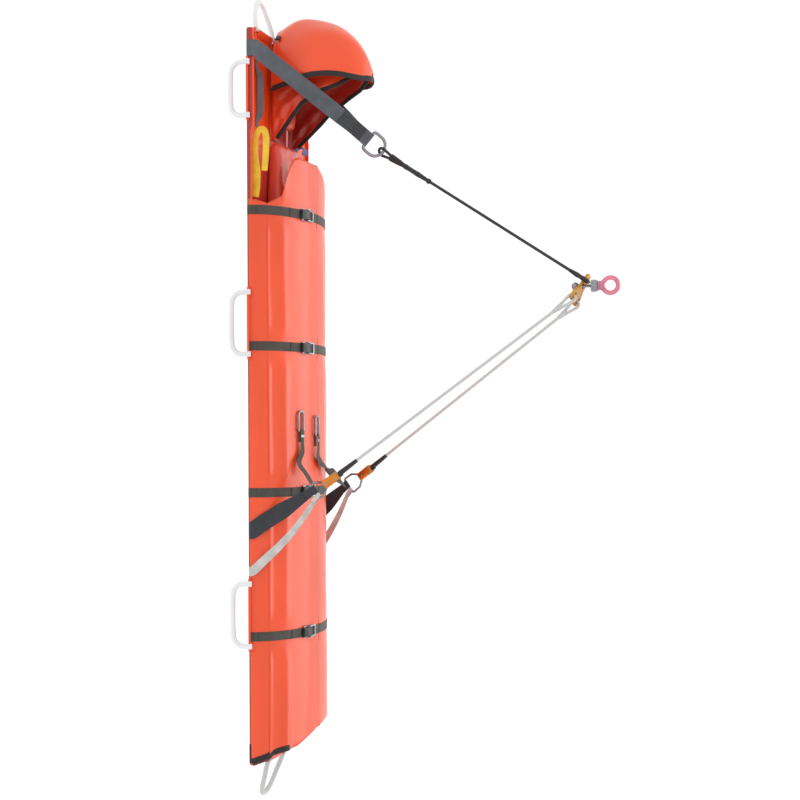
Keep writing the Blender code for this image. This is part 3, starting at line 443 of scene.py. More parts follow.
def smooth_rows(rows, step, closed=False):
    """A centripetal Catmull-Rom through rows (the first three numbers are a place), at even steps."""
    rows = np.array(rows, dtype=float)
    if closed:
        ends = np.vstack([rows[-1:], rows, rows[:2]])
    else:
        ends = np.vstack([2 * rows[0] - rows[1], rows, 2 * rows[-1] - rows[-2]])
    gaps = np.maximum(np.linalg.norm(np.diff(ends[:, :3], axis=0), axis=1), 1e-7) ** 0.5
    out = []
    for i in range(1, len(ends) - 2):
        p0, p1, p2, p3 = ends[i - 1:i + 3]
        d0, d1, d2 = gaps[i - 1:i + 2]
        m1 = ((p1 - p0) / d0 - (p2 - p0) / (d0 + d1) + (p2 - p1) / d1) * d1
        m2 = ((p2 - p1) / d1 - (p3 - p1) / (d1 + d2) + (p3 - p2) / d2) * d1
        for t in linspace(0, 1, 20, endpoint=False):
            out.append((2 * t**3 - 3 * t**2 + 1) * p1 + (t**3 - 2 * t**2 + t) * m1
                       + (-2 * t**3 + 3 * t**2) * p2 + (t**3 - t**2) * m2)
    out = np.array(out + [ends[-2]])
    run = run_along(out)
    at = linspace(0, run[-1], max(3, int(round(run[-1] / step)) + 1))
    made = np.column_stack([np.interp(at, run, column) for column in out.T])
    return made[:-1] if closed else made


def run_along(rows):
    """The distance gone at each row."""
    return np.concatenate([[0], np.cumsum(np.linalg.norm(np.diff(rows[:, :3], axis=0), axis=1))])


def sweep(name, rows, profile, closed=False, around=True):
    """A solid swept along rows of place, width direction and scale; the profile is [(w, n)] in metres."""
    rows = np.array(rows, dtype=float)
    (count, columns), ring = rows.shape, len(profile)
    places = rows[:, :3]
    points = []
    for i in range(count):
        before = places[i - 1] if (i or closed) else places[i]
        after = places[(i + 1) % count] if (i + 1 < count or closed) else places[i]
        along = Vector(after - before).normalized()
        w = Vector(rows[i, 3:6])
        w = (w - along * w.dot(along)).normalized()
        n = along.cross(w)
        wide = rows[i, 6] if columns > 6 else 1.0
        thick = rows[i, 7] if columns > 7 else wide
        points += [Vector(places[i]) + w * (pw * wide) + n * (pn * thick) for pw, pn in profile]
    run = run_along(np.vstack([places, places[:1]]) if closed else places)
    faces, uvs = [], []
    for i in range(count if closed else count - 1):
        for j in range(ring):
            k = (j + 1) % ring
            a, b = i * ring, ((i + 1) % count) * ring
            faces.append((a + j, a + k, b + k, b + j))
            u0, u1 = (j / ring, (j + 1) / ring) if around else (profile[j][0], profile[k][0])
            uvs.append(((u0, run[i]), (u1, run[i]), (u1, run[i + 1]), (u0, run[i + 1])))
    if not closed:
        for i, turn in ((0, -1), (count - 1, 1)):
            faces.append(tuple(range(i * ring, (i + 1) * ring))[::turn])
            uvs.append([(pw, run[i]) for pw, _ in profile][::turn])
    return mesh_piece(name, points, faces, uvs)


def course(points, i):
    """The way the line runs at one of its points."""
    return (points[min(i + 1, len(points) - 1)] - points[max(i - 1, 0)]).normalized()


def upright(points):
    """Rows for a round tube: any steady width direction will do."""
    rows, w = [], None
    for i, p in enumerate(points):
        along = course(points, i)
        if w is None:
            w = along.orthogonal().normalized()
        w = (w - along * w.dot(along)).normalized()
        rows.append((*p, *w))
    return rows


def circle(radius, sides):
    turns = [2 * pi * k / sides for k in range(sides)]
    return [(radius * cos(t), radius * sin(t)) for t in turns]


def tube(name, points, radius, step=0.004, closed=False, sides=16, taper=None):
    """A round tube along a smooth curve through points; taper is a scale for each point."""
    rows = [(*row, k) for row, k in zip(upright(points), taper or [1.0] * len(points))]
    return sweep(name, smooth_rows(rows, step, closed), circle(radius, sides), closed)


def web_profile(width, thick, lip=0.0003):
    """A band's section, with a slightly thicker woven edge on each side."""
    h, t = width / 2, thick / 2
    half = [(h - 0.0004, -t), (h, -t * 0.4), (h, t * 0.4), (h - 0.0004, t),
            (h - 0.0022, t - lip), (0.0, t - lip * 0.6), (-h + 0.0022, t - lip)]
    return half + [(-w, -n) for w, n in half]


def each(value, points):
    """One direction for every point, where only one is given."""
    return [value] * len(points) if isinstance(value, Vector) else value


def band(name, points, across, width, thick=WEB_T, step=0.004, closed=False, scale=None):
    scale = scale or [1.0] * len(points)
    rows = [(*p, *a, k, 1.0) for p, a, k in zip(points, each(across, points), scale)]
    return sweep(name, smooth_rows(rows, step, closed), web_profile(width, thick), closed, around=False)


def cloth_piece(name, grid, thick, flip=False):
    """A sheet with thickness over a grid of points; the thickness goes to the inner side."""
    g = np.array([[tuple(p) for p in row] for row in grid])
    rows, cols = g.shape[:2]
    n = np.cross(np.gradient(g, axis=0), np.gradient(g, axis=1))
    n *= (-1 if flip else 1) / np.maximum(np.linalg.norm(n, axis=2, keepdims=True), 1e-12)
    points = np.concatenate([g.reshape(-1, 3), (g - n * thick).reshape(-1, 3)])
    du, dv = [float(np.linalg.norm(np.diff(g, axis=k), axis=2).mean()) for k in (0, 1)]
    faces, uvs = [], []

    def add(*corners):
        """One face, from corners of row, column and layer."""
        corners = corners[::-1] if flip else corners
        faces.append(tuple((layer * rows + i) * cols + j for i, j, layer in corners))
        uvs.append([(i * du, j * dv) for i, j, _ in corners])

    for i in range(rows - 1):
        for j in range(cols - 1):
            cell = ((i, j), (i + 1, j), (i + 1, j + 1), (i, j + 1))
            add(*[(*corner, 0) for corner in cell])
            add(*[(*corner, 1) for corner in cell[::-1]])
    edge = [(0, j) for j in range(cols)] + [(i, cols - 1) for i in range(1, rows)]
    edge += [(rows - 1, j) for j in range(cols - 2, -1, -1)] + [(i, 0) for i in range(rows - 2, 0, -1)]
    for a, b in zip(edge, edge[1:] + edge[:1]):
        add((*a, 0), (*b, 0), (*b, 1), (*a, 1))
    return mesh_piece(name, points, faces, uvs)


def lathe(name, start, along, outline, sides):
    """A turned part: the outline is [(distance along, radius)], from axis to axis."""
    along = along.normalized()
    u = along.orthogonal().normalized()
    v = along.cross(u)
    points = [start + along * s + (u * w + v * n) * max(r, 1e-5)
              for s, r in outline for w, n in circle(1.0, sides)]
    faces = []
    for a in range(0, (len(outline) - 1) * sides, sides):
        for k in range(sides):
            j = (k + 1) % sides
            faces.append((a + k, a + j, a + sides + j, a + sides + k))
    faces += [tuple(range(sides))[::-1], tuple(range(len(points) - sides, len(points)))]
    obj = mesh_piece(name, points, faces)
    obj.modifiers.new("edges", "EDGE_SPLIT").split_angle = radians(50)
    return obj


def refine(node, mat, bevel, angle=35):
    """A rigid part rebuilt from its solid: faces merged, edges rounded, curved faces shaded smooth."""
    mesh = solid_mesh(node, node + "_detail", merge_faces=True)
    mesh.shade_smooth()
    obj = add_object(mesh.name, mesh)
    mod = obj.modifiers.new("rounded", "BEVEL")
    mod.width, mod.segments = bevel, 2
    mod.limit_method = "ANGLE"
    mod.angle_limit = radians(angle)
    mod.use_clamp_overlap = mod.harden_normals = True
    return dress(obj, mat, [node], body_of_node[node])


# ---- body skins
def make_skins():
    for side, word in WORDS.items():
        grid = []
        for angle in linspace(24.6, 89.7, 44):
            x0, x1 = table_at(HEAD_EDGE[side], angle) + 0.001, table_at(FOOT_EDGE[side], angle) - 0.001
            row = []
            for x in linspace(x0, x1, 230):
                loose = pinch(x)
                hem = 0.0006 * exp(-(((x - x0 - 0.006) / 0.004) ** 2)) * loose
                lap = 0.0003 + 0.0006 * loose * ease((32 - angle) / 4)
                # the near flap's edge lies over the far one's between the straps
                over = loose * ease((angle - 86.0) / 3.0) if side < 0 else 0.0
                out = lap + hem + swell(side, angle, x) + 0.0021 * over
                row.append(on_shell(side, angle + 1.7 * over, x, out))
            grid.append(row)
        skin = cloth_piece(f"skin_{word}", grid, SKIN_T, flip=side < 0)
        dress(skin, "skin", [f"flap_{word}"], fold=side)
        make_flank(side, word)


def lip_angle(side, x):
    """The top edge of the side wall, which steps up where the opening ends."""
    low = LOW_WALL if side > 0 else float(np.interp(x, [-0.449, -0.426], [9.0, LOW_WALL]))
    return low + (WALL_TOP - low) * clamp((x - OPENING_X) / 0.012)


def make_flank(side, word):
    """The outside of the base's side wall, smooth from the bottom edge to under the flap."""
    low_xs = linspace(-0.7095, -0.246, 60)
    xs = np.concatenate([low_xs, linspace(-0.243, -0.232, 8), linspace(-0.228, 1.289, 210)])
    grid = []
    for k in linspace(0, 1, 22):
        row = []
        for x in xs:
            angle = 1.9 + (lip_angle(side, x) - 1.2 - 1.9) * k
            trim = FOOT_TRIM[side] * CROWN * sin(radians(angle)) / TRIM_H * ease((x - 0.9) / 0.39)
            grow = swell(side, angle, x) if x > -0.20 else 0.0
            row.append(on_shell(side, angle, x - trim, 0.00012 + grow * 0.8))
        grid.append(row)
    n = len(low_xs)
    # the head end of the flank, in the shade under the hood, takes the darkened PVC: painted shade
    for name, rows, mat in (("flank_head", [row[:n] for row in grid], "inner"),
                            ("flank", [row[n - 1:] for row in grid], "skin")):
        dress(cloth_piece(f"{name}_{word}", rows, LINING_T, flip=side < 0), mat)
    # rolled edge along the head end's low side wall
    lip = [on_shell(side, lip_angle(side, x), x, -0.0012) for x in linspace(-0.706, -0.247, 40)]
    lip += [on_shell(side, lip_angle(side, x) - 0.4, x, -0.0012) for x in linspace(-0.2435, -0.2335, 6)]
    dress(tube(f"lip_roll_{word}", lip, 0.0021), "skin")
    # a bead along the bottom corner, its dark brown a painted shade line along the edge
    corner = [high(x, side * (HALF_W - 0.0026), 0.0026) for x in linspace(-0.706, 1.286, 60)]
    dress(tube(f"edge_piping_{word}", corner, 0.0023, 0.006, sides=10), "edge_shade")


def binding(name, points, normals, width, thick, mat="binding", **more):
    """Bias tape wrapped over an edge: a flat oval, wide across the cloth."""
    rows = []
    for i, (p, n) in enumerate(zip(points, each(normals, points))):
        rows.append((*p, *course(points, i).cross(n.normalized()), 1.0, 1.0))
    profile = [(width / 2 * copysign(abs(w) ** 0.6, w), thick / 2 * copysign(abs(n) ** 0.8, n))
               for w, n in circle(1.0, 20)]
    return dress(sweep(name, smooth_rows(rows, 0.004), profile, around=False), mat, **more)


def make_foot_binding():
    for side, word in WORDS.items():
        points, normals = [], []
        for angle in linspace(3, 46, 24):
            wall = FOOT_X - FOOT_TRIM[side] * CROWN * sin(radians(angle)) / TRIM_H
            x = wall + (table_at(FOOT_EDGE[side], angle) - wall) * ease((angle - 20) / 8)
            points.append(on_shell(side, angle, x - 0.0075, swell(side, angle, x) - 0.0004))
            normals.append(shell_frame(side, angle, x).col[2].to_3d())
        binding(f"foot_binding_{word}", points, normals, 0.0170, 0.0040, fold=side)
        # a thin strip past the binding in the same brown: painted shade along the foot edge
        fringe = [p + X_AXIS * 0.0095 for p in points[1:14]]
        binding(f"foot_hem_{word}", fringe, normals[1:14], 0.0060, 0.0026, "edge_shade", fold=side)
    across = [high(FOOT_X - 0.006, y, 0.0028) for y in linspace(-0.214, 0.214, 30)]
    binding("foot_binding_base", across, Z_AXIS, 0.013, 0.0072)
    for side, word in WORDS.items():
        corner = [high(x, side * (HALF_W - 0.0015), 0.0034) for x in linspace(1.232, 1.283, 8)]
        binding(f"corner_binding_{word}", corner, Vector((0, side, 0.2)), 0.0070, 0.0040)


# ---- closure straps and buckles
def bottom_run(out):
    half = [(-HALF_W - out, 0.0042), (-HALF_W - out * 0.4, 0.0017), (-HALF_W + 0.0025, CHANNEL - out)]
    return half + [(-y, h) for y, h in half[::-1]]


def make_straps():
    for i, x in enumerate(STRAP_X, 1):
        wall = [shell_point(-1, a, WEB_MID) for a in (12.0, 8.0, 4.0)]
        path = [high(x, y, h) for y, h in wall + bottom_run(WEB_MID) + [(-y, h) for y, h in wall[::-1]]]
        under = sweep(f"band_{i}_under", [(*p, *X_AXIS, 1.0, 1.0) for p in path],
                      web_profile(STRAP_W, WEB_T, 0.0), around=False)
        dress(under, "webbing", [f"strap_{i}_under"])
        for side, word in WORDS.items():
            path = [on_shell(side, a, x, WEB_MID) for a in linspace(12.0, 89.6, 40)]
            dress(band(f"band_{i}_{word}", path, X_AXIS, STRAP_W), "webbing", [f"strap_{i}_{word}"], fold=side)
        refine(f"buckle_{i}", "steel", 0.0004)
        refine(f"buckle_lever_{i}", "blackp", 0.0006)
        place = shell_frame(-1, 71.0, x)
        # ribs on the lever's thumb end and the doubled end of the web that runs back under it
        for k in range(4):
            rib = [place @ Vector((w, -0.029 + 0.0045 * k, 0.01255)) for w in (-0.010, 0.0, 0.010)]
            dress(tube(f"lever_rib_{i}_{k + 1}", rib, 0.0006, sides=8), "blackp", body=f"buckle_lever_{i}")
        tail = [on_shell(-1, 50.5, x, WEB_MID + 0.0017)]
        tail += [on_shell(-1, a, x + 0.0004, WEB_MID + 0.0019) for a in linspace(50.5, 61.0, 8)[1:]]
        dress(band(f"band_tail_{i}", tail, X_AXIS, STRAP_W - 0.001), "webbing", body="near_flap")


# ---- handles
def make_handles():
    """Each handle: a loop of tube, its second half the mirror of the first, and a cuff at each end of its rod."""
    rods = []
    for side, word in WORDS.items():
        y = side * (HALF_W + ROD_OFF)
        rods += [(f"handle_{word}_{i + 1}", high(x0, y, ROD_H), high(x1, y, ROD_H), -Z_AXIS, SIDE_DROP)
                 for i, (x0, x1) in enumerate(SIDE_HANDLES)]
    for end, x, way, ys, drop, droop in END_HANDLES:
        down = Vector((way * cos(radians(droop)), 0, -sin(radians(droop))))
        a, b = [high(x + way * ROD_OFF, y, ROD_H) for y in ys]
        rods.append((f"handle_{end}", a, b, down, drop))
    for name, a, b, down, drop in rods:
        run = (b - a).normalized()
        middle = (a + b) / 2
        if down.x:
            half = [a + down * 0.002, a + down * 0.012, a + down * 0.045 + run * 0.010]
            half += arc(middle + down * (drop - 0.034), -run, down, 0.036, 18, 90, 5)
            other = half[-2::-1]
        else:
            half = [a + down * 0.002, a + down * 0.010]
            half += [a + down * (drop - 0.030 * (1 - sin(t))) + run * 0.030 * (1 - cos(t))
                     for t in (0, 0.4, 0.8, 1.2, pi / 2)]
            other = half[::-1]
        points = half + [p - run * (2 * (p - middle).dot(run)) for p in other]
        mat = "palegrey" if name == "handle_foot" else "pale"
        dress(tube(name + "_loop", points, HANDLE_R, sides=20), mat, [name], body_of_node[name])
        for k, end in enumerate((a, b)):
            piece = lathe(f"{name}_cuff_{k + 1}", end - run * 0.0072, run, CUFF, 28)
            dress(piece, mat, body=body_of_node[name])


def make_end_hems():
    """The coated hem that each end handle's rod runs through, from the panel's edge round the rod and back."""
    for end, x, way, (y0, y1), _, _ in END_HANDLES:
        rod_x = x + way * ROD_OFF
        loop = [(x - way * 0.012, 0.0071), (x, 0.0082), (rod_x - way * 0.003, 0.0103)]
        loop += [(rod_x + way * 0.0040 * sin(t), ROD_H + 0.0040 * cos(t)) for t in linspace(0, pi, 9)]
        loop += [(rod_x - way * 0.004, 0.0014), (x, 0.0004), (x - way * 0.004, -0.0006)]
        grid = [[high(px, y, h + 0.0003 * sin(90 * y)) for px, h in loop]
                for y in linspace(y0 + 0.0085, y1 - 0.0085, 30)]
        dress(cloth_piece(f"{end}_hem", grid, LINING_T, flip=way > 0), "skin")


# ---- hood and collar
def hood_at(h):
    levels = [row[0] for row in HOOD]
    return [float(np.interp(h, levels, [row[k] for row in HOOD])) for k in (1, 2, 3)]


def hood_rows():
    """The dome's table, made smooth and closed over the top."""
    rows = smooth_rows([(h, back, half, rim, 0.0) for h, back, rim, half in HOOD], 0.006)
    return [(r[0], r[1], r[3], r[2]) for r in rows]


def make_hood():
    table = hood_rows()
    turns = [radians(-90 + 180 * k / 56) for k in range(57)]
    grid = []
    for h, back, rim, half in table:
        row = []
        for a in turns:
            reach = max(0.0, cos(a)) ** HOOD_REACH
            puff = 0.024 * sin(3.1 * a + 21 * h) * sin(17 * h + 1.0) + 0.010 * sin(7 * a - 30 * h)
            puff = 1 + puff * ease((h - 0.03) / 0.05) * ease(cos(a) / 0.35)
            row.append(high(rim - (rim - back) * reach * puff, half * sin(a) * puff, h))
        grid.append(row)
    h, back, rim, half = table[-1]
    middle = rim - (rim - back) * 0.42
    last = grid[-1]
    for shrink, lift in ((0.72, 0.0024), (0.42, 0.0038), (0.14, 0.0044)):
        grid.append([high(middle + (p.x - middle) * shrink, p.y * shrink, h + lift) for p in last])
    dome = cloth_piece("hood_shell", grid, 0.0026)
    smooth = dome.modifiers.new("even", "SMOOTH")
    smooth.factor, smooth.iterations = 0.5, 3
    dress(dome, "skin", ["hood_dome"], "hood")
    # the bound rim: up the near side, over the flattened top and down the far side
    sides = {side: [(high(rim + 0.001, side * (half - 0.0012), h),
                     Vector((0, side, 0.25 + 2.0 * ease((h - 0.22) / 0.06))))
                    for h, back, rim, half in table if h < RIM_TOP] for side in (-1, 1)}
    over = [(high(rim - 0.001, half * t, h + 0.0030 - 0.0028 * t * t), Vector((0, 0.6 * t, 1.0)))
            for t in (-0.85, 0.0, 0.85)]
    points, outward = zip(*(sides[-1] + over + sides[1][::-1]))
    binding("hood_rim_binding", points, outward, 0.0150, 0.0050, body="hood")
    back, rim, half = hood_at(0.024)
    turns = np.radians(linspace(-90, 90, 44))
    foot = [high(rim - (rim - back) * max(0.0, cos(a)) ** HOOD_REACH, (half + 0.0006) * sin(a), 0.0265)
            for a in turns]
    binding("hood_hem", foot, [Vector((-cos(a), sin(a), 0)) for a in turns], 0.0085, 0.0040, "collar",
            body="hood")
    refine("hood_clip", "blackp", 0.0008)


def collar_height(side, x):
    heights = {-1: (0.235, 0.235, 0.205, 0.158, 0.105, 0.026), 1: (0.250, 0.262, 0.240, 0.200, 0.138, 0.030)}
    return float(np.interp(x, (-0.634, -0.600, -0.580, -0.562, -0.529, -0.430), heights[side]))


def collar_wall(side, x, k):
    """A point on the collar's outer face: k is 0 at the floor and 1 at the bound edge."""
    pinched = table_at([(-0.634, 0.70), (-0.580, 0.90), (-0.50, 1.0), (-0.43, 0.96)], x)
    top = collar_height(side, x)
    h = 0.0090 + (top - 0.0090) * k
    wide = COLLAR_W * pinched * (1 - 0.45 * (max(0.0, h - 0.09) / 0.15) ** 2)
    wide *= 1 - 0.16 * ease((0.020 - h) / 0.012)
    fold = 0.0032 * sin(52 * x + 9 * k + side) * sin(pi * min(1, k * 1.1)) ** 2
    fold += 0.0016 * sin(95 * x - 14 * k) * k * (1 - k) * 4
    return Vector((x, side * (wide + fold * ease((top - 0.03) / 0.05)), BASE_Z + h))


def make_collar():
    xs = linspace(-0.632, -0.432, 70)
    for side, word in WORDS.items():
        grid = [[collar_wall(side, x, k) for x in xs] for k in linspace(0, 1, 34)]
        wall = cloth_piece(f"collar_{word}", grid, 0.0020, flip=side < 0)
        dress(wall, "collar", ["hood_collar"])
        # the lining takes the darkened PVC: painted shade inside the collar
        lining = [[collar_wall(side, x, k) - Y_AXIS * side * 0.0024 for x in xs]
                  for k in linspace(0.02, 0.97, 30)]
        dress(cloth_piece(f"collar_lining_{word}", lining, LINING_T, flip=side < 0), "inner")
        edge = [collar_wall(side, x, 1.0) - Y_AXIS * side * 0.001 for x in linspace(-0.631, -0.436, 50)]
        binding(f"collar_binding_{word}", edge, Vector((0, side, 0.1)), 0.0125, 0.0052)
    # the collar's floor also takes the darkened PVC as painted shade
    floor = [[high(x, y, 0.0082) for x in linspace(-0.630, -0.434, 20)] for y in linspace(-0.052, 0.052, 12)]
    dress(cloth_piece("collar_floor", floor, 0.0014, flip=True), "inner")


# ---- bridle
def make_head_sling():
    """The closed sling under the head end and over the D-ring's bar; gives the ring's crown and the web's slant."""
    foot = Vector((SLING_X, 0, 0.026)) - DBAR
    down = foot.normalized()
    slant = Vector((down.z, 0, -down.x))
    bar = high(*DBAR)
    turn = DRING_R + WEB_MID
    # each leg: (distance down, distance out, width direction)
    legs = [(0.035, turn, slant), (0.060, turn + 0.002, slant), (0.100, turn + 0.022, slant)]
    foot_out = HALF_W + WEB_MID + 0.0007
    for k in (0.60, 0.86, 0.96, 1.0):
        off = turn + 0.022 + (foot_out - turn - 0.022) * k
        mix = slant.lerp(-X_AXIS, max(0.0, (k - 0.86) / 0.14))
        legs.append((0.100 + (foot.length - 0.100) * k, off, mix))
    crook = arc(bar, Y_AXIS, -down, turn, 0, 180, 8)
    bottom = [high(SLING_X, y, h) for y, h in bottom_run(WEB_MID)]
    points = crook + [bar + down * s - Y_AXIS * off for s, off, _ in legs] + bottom
    points += [bar + down * s + Y_AXIS * off for s, off, _ in legs[::-1]]
    mixes = [mix for _, _, mix in legs]
    across = [slant] * len(crook) + mixes + [-X_AXIS] * len(bottom) + mixes[::-1]
    scale = [0.91 if i <= len(crook) + 1 or i >= len(points) - 2 else 1.0 for i in range(len(points))]
    dress(band("sling_head", points, across, SLING_W, closed=True, scale=scale), "slate", ["head_sling"])
    # the sewn end on each leg: a darker doubled length with rows of stitching
    for side, word in WORDS.items():
        path = [bar + down * s + Y_AXIS * side * (turn + off + WEB_T + 0.0002) for s, off in
                ((0.020, 0.0), (0.040, 0.0006), (0.060, 0.002), (0.080, 0.0112), (0.096, 0.0201))]
        dress(band(f"sling_head_lap_{word}", path, slant, 0.0385), "slate_dark")
        rows = smooth_rows([(*p, *slant) for p in path], 0.004)
        for n, at in enumerate((-0.016, -0.0055, 0.0055, 0.016)):
            line = [Vector(r[:3]) + Vector(r[3:]) * at + Y_AXIS * side * 0.0011 for r in rows[1:-1]]
            dress(tube(f"sling_stitch_{word}_{n + 1}", line, 0.00055, sides=6), "stitch", slot="slate")
    # D-ring: a straight bar and a round bow
    half, up = DRING_W / 2, -down
    corner = bar + slant * half
    ring = [bar, bar + slant * (half - 0.008), corner + up * 0.0023 - slant * 0.0023, corner + up * 0.008]
    ring += arc(bar + up * (DRING_DEEP - half), slant, up, half, 0, 180, 14)
    ring += [p - slant * (2 * (p - bar).dot(slant)) for p in ring[3:0:-1]]
    dress(tube("dee", ring, DRING_R + 0.0005, 0.002, closed=True, sides=20), "steel", ["d_ring"])
    return bar + up * DRING_DEEP, slant


def plate_point(s, y=0.0, n=0.0):
    """A place on the tilted rigging plate: along it, across it and off its face."""
    t = radians(PLATE_TILT)
    place = Vector((cos(t), 0, -sin(t))) * s + Vector((sin(t), 0, cos(t))) * n + Y_AXIS * y
    return Z_AXIS * PLATE_Z + Matrix.Rotation(radians(PLATE_YAW), 3, "Z") @ place


def adjuster_axes(side):
    """An adjuster's middle, the way to the plate, and its two directions across that."""
    centre = high(*ADJ[side])
    a = (plate_point(LOBE_FOOT, side * LOBE_Y) - centre).normalized()
    b = Vector((a.z, 0, -a.x)).normalized()
    return centre, a, b, a.cross(b)


def eye_points(centre, a, normal, radius, neck):
    """A rope's eye round a pin: a ring that closes to a neck in the direction a."""
    b = normal.normalized().cross(a)
    lean = degrees(acos(min(1.0, radius / neck)))
    start = centre + a * neck
    return [start + b * 0.0036] + arc(centre, a, b, radius, lean, 360 - lean, 18) + [start - b * 0.0036]


def make_rope(name, a, b, eye_a, eye_b, mat, node, thick=0.0):
    """A taut rope with a spliced eye at each end; each eye is (radius, neck, plane normal, sleeve) or None."""
    along = (b - a).normalized()
    start = a + along * (eye_a[1] - 0.002 if eye_a else 0.0)
    stop = b - along * (eye_b[1] - 0.002 if eye_b else 0.0)
    path = [start.lerp(stop, t) for t in linspace(0, 1, 24)]
    rope = dress(tube(name, path, ROPE_R, 0.008, sides=14), mat, [node])
    for label, eye, centre, way in (("a", eye_a, a, along), ("b", eye_b, b, -along)):
        if not eye:
            continue
        radius, neck, normal, sleeve = eye
        loop = tube(f"{name}_eye_{label}", eye_points(centre, way, normal, radius, neck), ROPE_R * 0.96, 0.002,
                    sides=14)
        dress(loop, mat)
        grow = 1.0 if mat != "rope" else 1.25 if label == "a" else 0.82
        outline = [(0, 0.004), (0.001, 0.0078 * grow), (0.004, 0.0084 * grow), (0.010, 0.0082 * grow),
                   (0.010 + sleeve * 0.5, 0.0068 * grow), (0.010 + sleeve, ROPE_R + 0.0008),
                   (0.0105 + sleeve, 0.004)]
        cover = lathe(f"{name}_splice_{label}", centre + way * (neck - 0.010), way, outline, 24)
        dress(cover, "binding" if mat == "rope" else "palegrey", slot=SLOT_OF.get(mat, mat))
    if thick:
        run = [start + along * thick * t for t in linspace(0, 1, 16)]
        tail = tube(f"{name}_double", run, ROPE_R + 0.0024, 0.006, taper=[1.0] * 12 + [0.95, 0.88, 0.80, 0.72])
        dress(tail, mat)
        for k in range(3):
            wrap = lathe(f"{name}_whipping_{k + 1}", start + along * (thick * (0.34 + 0.3 * k)), along,
                         [(0, 0.005), (0.0006, 0.0074), (0.0080, 0.0074), (0.0086, 0.005)], 20)
            dress(wrap, "black")


def make_ropes(crown, slant):
    web = plate_point(LOBE_HEAD, -0.0124)
    way = (crown - web).normalized()
    plate_y, face = [plate_point(0, *step) - plate_point(0) for step in ((1, 0), (0, 1))]
    make_rope("rope_head", crown, web, (0.0125, 0.036, slant + Y_AXIS, 0.045),
              (0.0130, 0.028, way.cross(plate_y), 0.020), "rope", "head_rope", 0.130)
    for side, word in WORDS.items():
        centre, a, b, _ = adjuster_axes(side)
        hole = plate_point(LOBE_FOOT, side * LOBE_Y) - (a - face * a.dot(face)).normalized() * 0.0117
        make_rope(f"rope_foot_{word}", centre - a * 0.010 - b * 0.0010, hole, None,
                  (0.0104, 0.040, a.cross(face), 0.022), "grey", f"foot_rope_{word}")
        # the dark moulded sleeve where each rope leaves its adjuster
        sleeve = lathe(f"rope_sleeve_{word}", centre + a * 0.0270, a,
                       [(0, 0.0045), (0.0005, 0.0066), (0.006, 0.0072), (0.040, 0.0062), (0.062, 0.0052),
                        (0.0630, 0.0045)], 24)
        dress(sleeve, "black")


def make_hardware():
    def turned(name, z, outline, sides, mat, *more):
        dress(lathe(name, Z_AXIS * z, Z_AXIS, outline, sides), mat, *more)

    refine("rigging_plate", "gold", 0.0003, angle=50)
    turned("swivel_barrel", -0.0655,
           [(0, 0.006), (0, 0.0156), (0.0009, 0.0165), (0.0050, 0.0165), (0.0056, 0.0159), (0.0064, 0.0159),
            (0.0070, 0.0165), (0.0121, 0.0164), (0.0180, 0.0136), (0.0180, 0.0064)],
           64, "steel", ["swivel_body"])
    turned("swivel_stem", -0.1192,
           [(0, 0.0002), (0.0008, 0.0045), (0.0042, 0.0088), (0.0090, 0.0110), (0.0130, 0.0110), (0.0176, 0.0085),
            (0.0204, 0.0052), (0.0222, 0.0040), (0.0540, 0.0040), (0.0560, 0.0062)], 48, "steel")
    ring = arc(Z_AXIS * (EYE_STOCK - EYE_R), X_AXIS, Z_AXIS, EYE_R, 0, 345, 23)
    ring = tube("eye_ring", ring, EYE_STOCK, 0.0022, closed=True, sides=28)
    dress(ring, "rose", ["swivel_eye"], "swivel_eye")
    turned("eye_neck", -0.0560,
           [(0, 0.0040), (0.0004, 0.0058), (0.0088, 0.0058), (0.0090, 0.0118), (0.0100, 0.0128), (0.0135, 0.0128),
            (0.0141, 0.0122), (0.0150, 0.0122), (0.0156, 0.0127), (0.0190, 0.0122), (0.0245, 0.0100),
            (0.0270, 0.0070)], 56, "rose", (), "swivel_eye")
    for k, z in enumerate((-0.0425, -0.0395)):
        turned(f"eye_band_{k + 1}", z, [(0, 0.0120), (0.0002, 0.0131), (0.0010, 0.0131), (0.0012, 0.0120)],
               48, "steel", (), "swivel_eye")
    rivet = [(0, 0.0012), (0, 0.0030), (0.0005, 0.0030), (0.0011, 0.0022), (0.0013, 0.0004)]
    for side, word in WORDS.items():
        body = refine(f"adjuster_{word}", "orange", 0.0005)
        refine(f"cam_{word}", "blackp", 0.0004)
        centre, a, b, c = adjuster_axes(side)
        # the bail is bright steel wire, the plates are coloured alloy
        bail = add_object(f"adjuster_{word}_bail", body.data.copy())
        keep_faces(body.data, lambda middle: (middle - centre).dot(a) >= BAIL_FROM)
        keep_faces(bail.data, lambda middle: (middle - centre).dot(a) < BAIL_FROM)
        dress(bail, "steel")
        for k, (s, t) in enumerate(((-0.012, 0.0), (0.014, 0.0067), (0.020, -0.0080))):
            for face, letter in ((-1, "a"), (1, "b")):
                at = centre + a * s + b * t + c * face * 0.0078
                dress(lathe(f"rivet_{word}_{k + 1}_{letter}", at, c * face, rivet, 20), "steel")


def hook_path(bar, come, around, turn, back):
    """Round a bar and back: up one side of it, half a turn, and down the other."""
    side = around.cross(come).normalized()
    return ([bar - come * 0.014 + side * turn] + arc(bar, side, come, turn, 0, 180, 6)
            + [bar - come * back - side * turn])


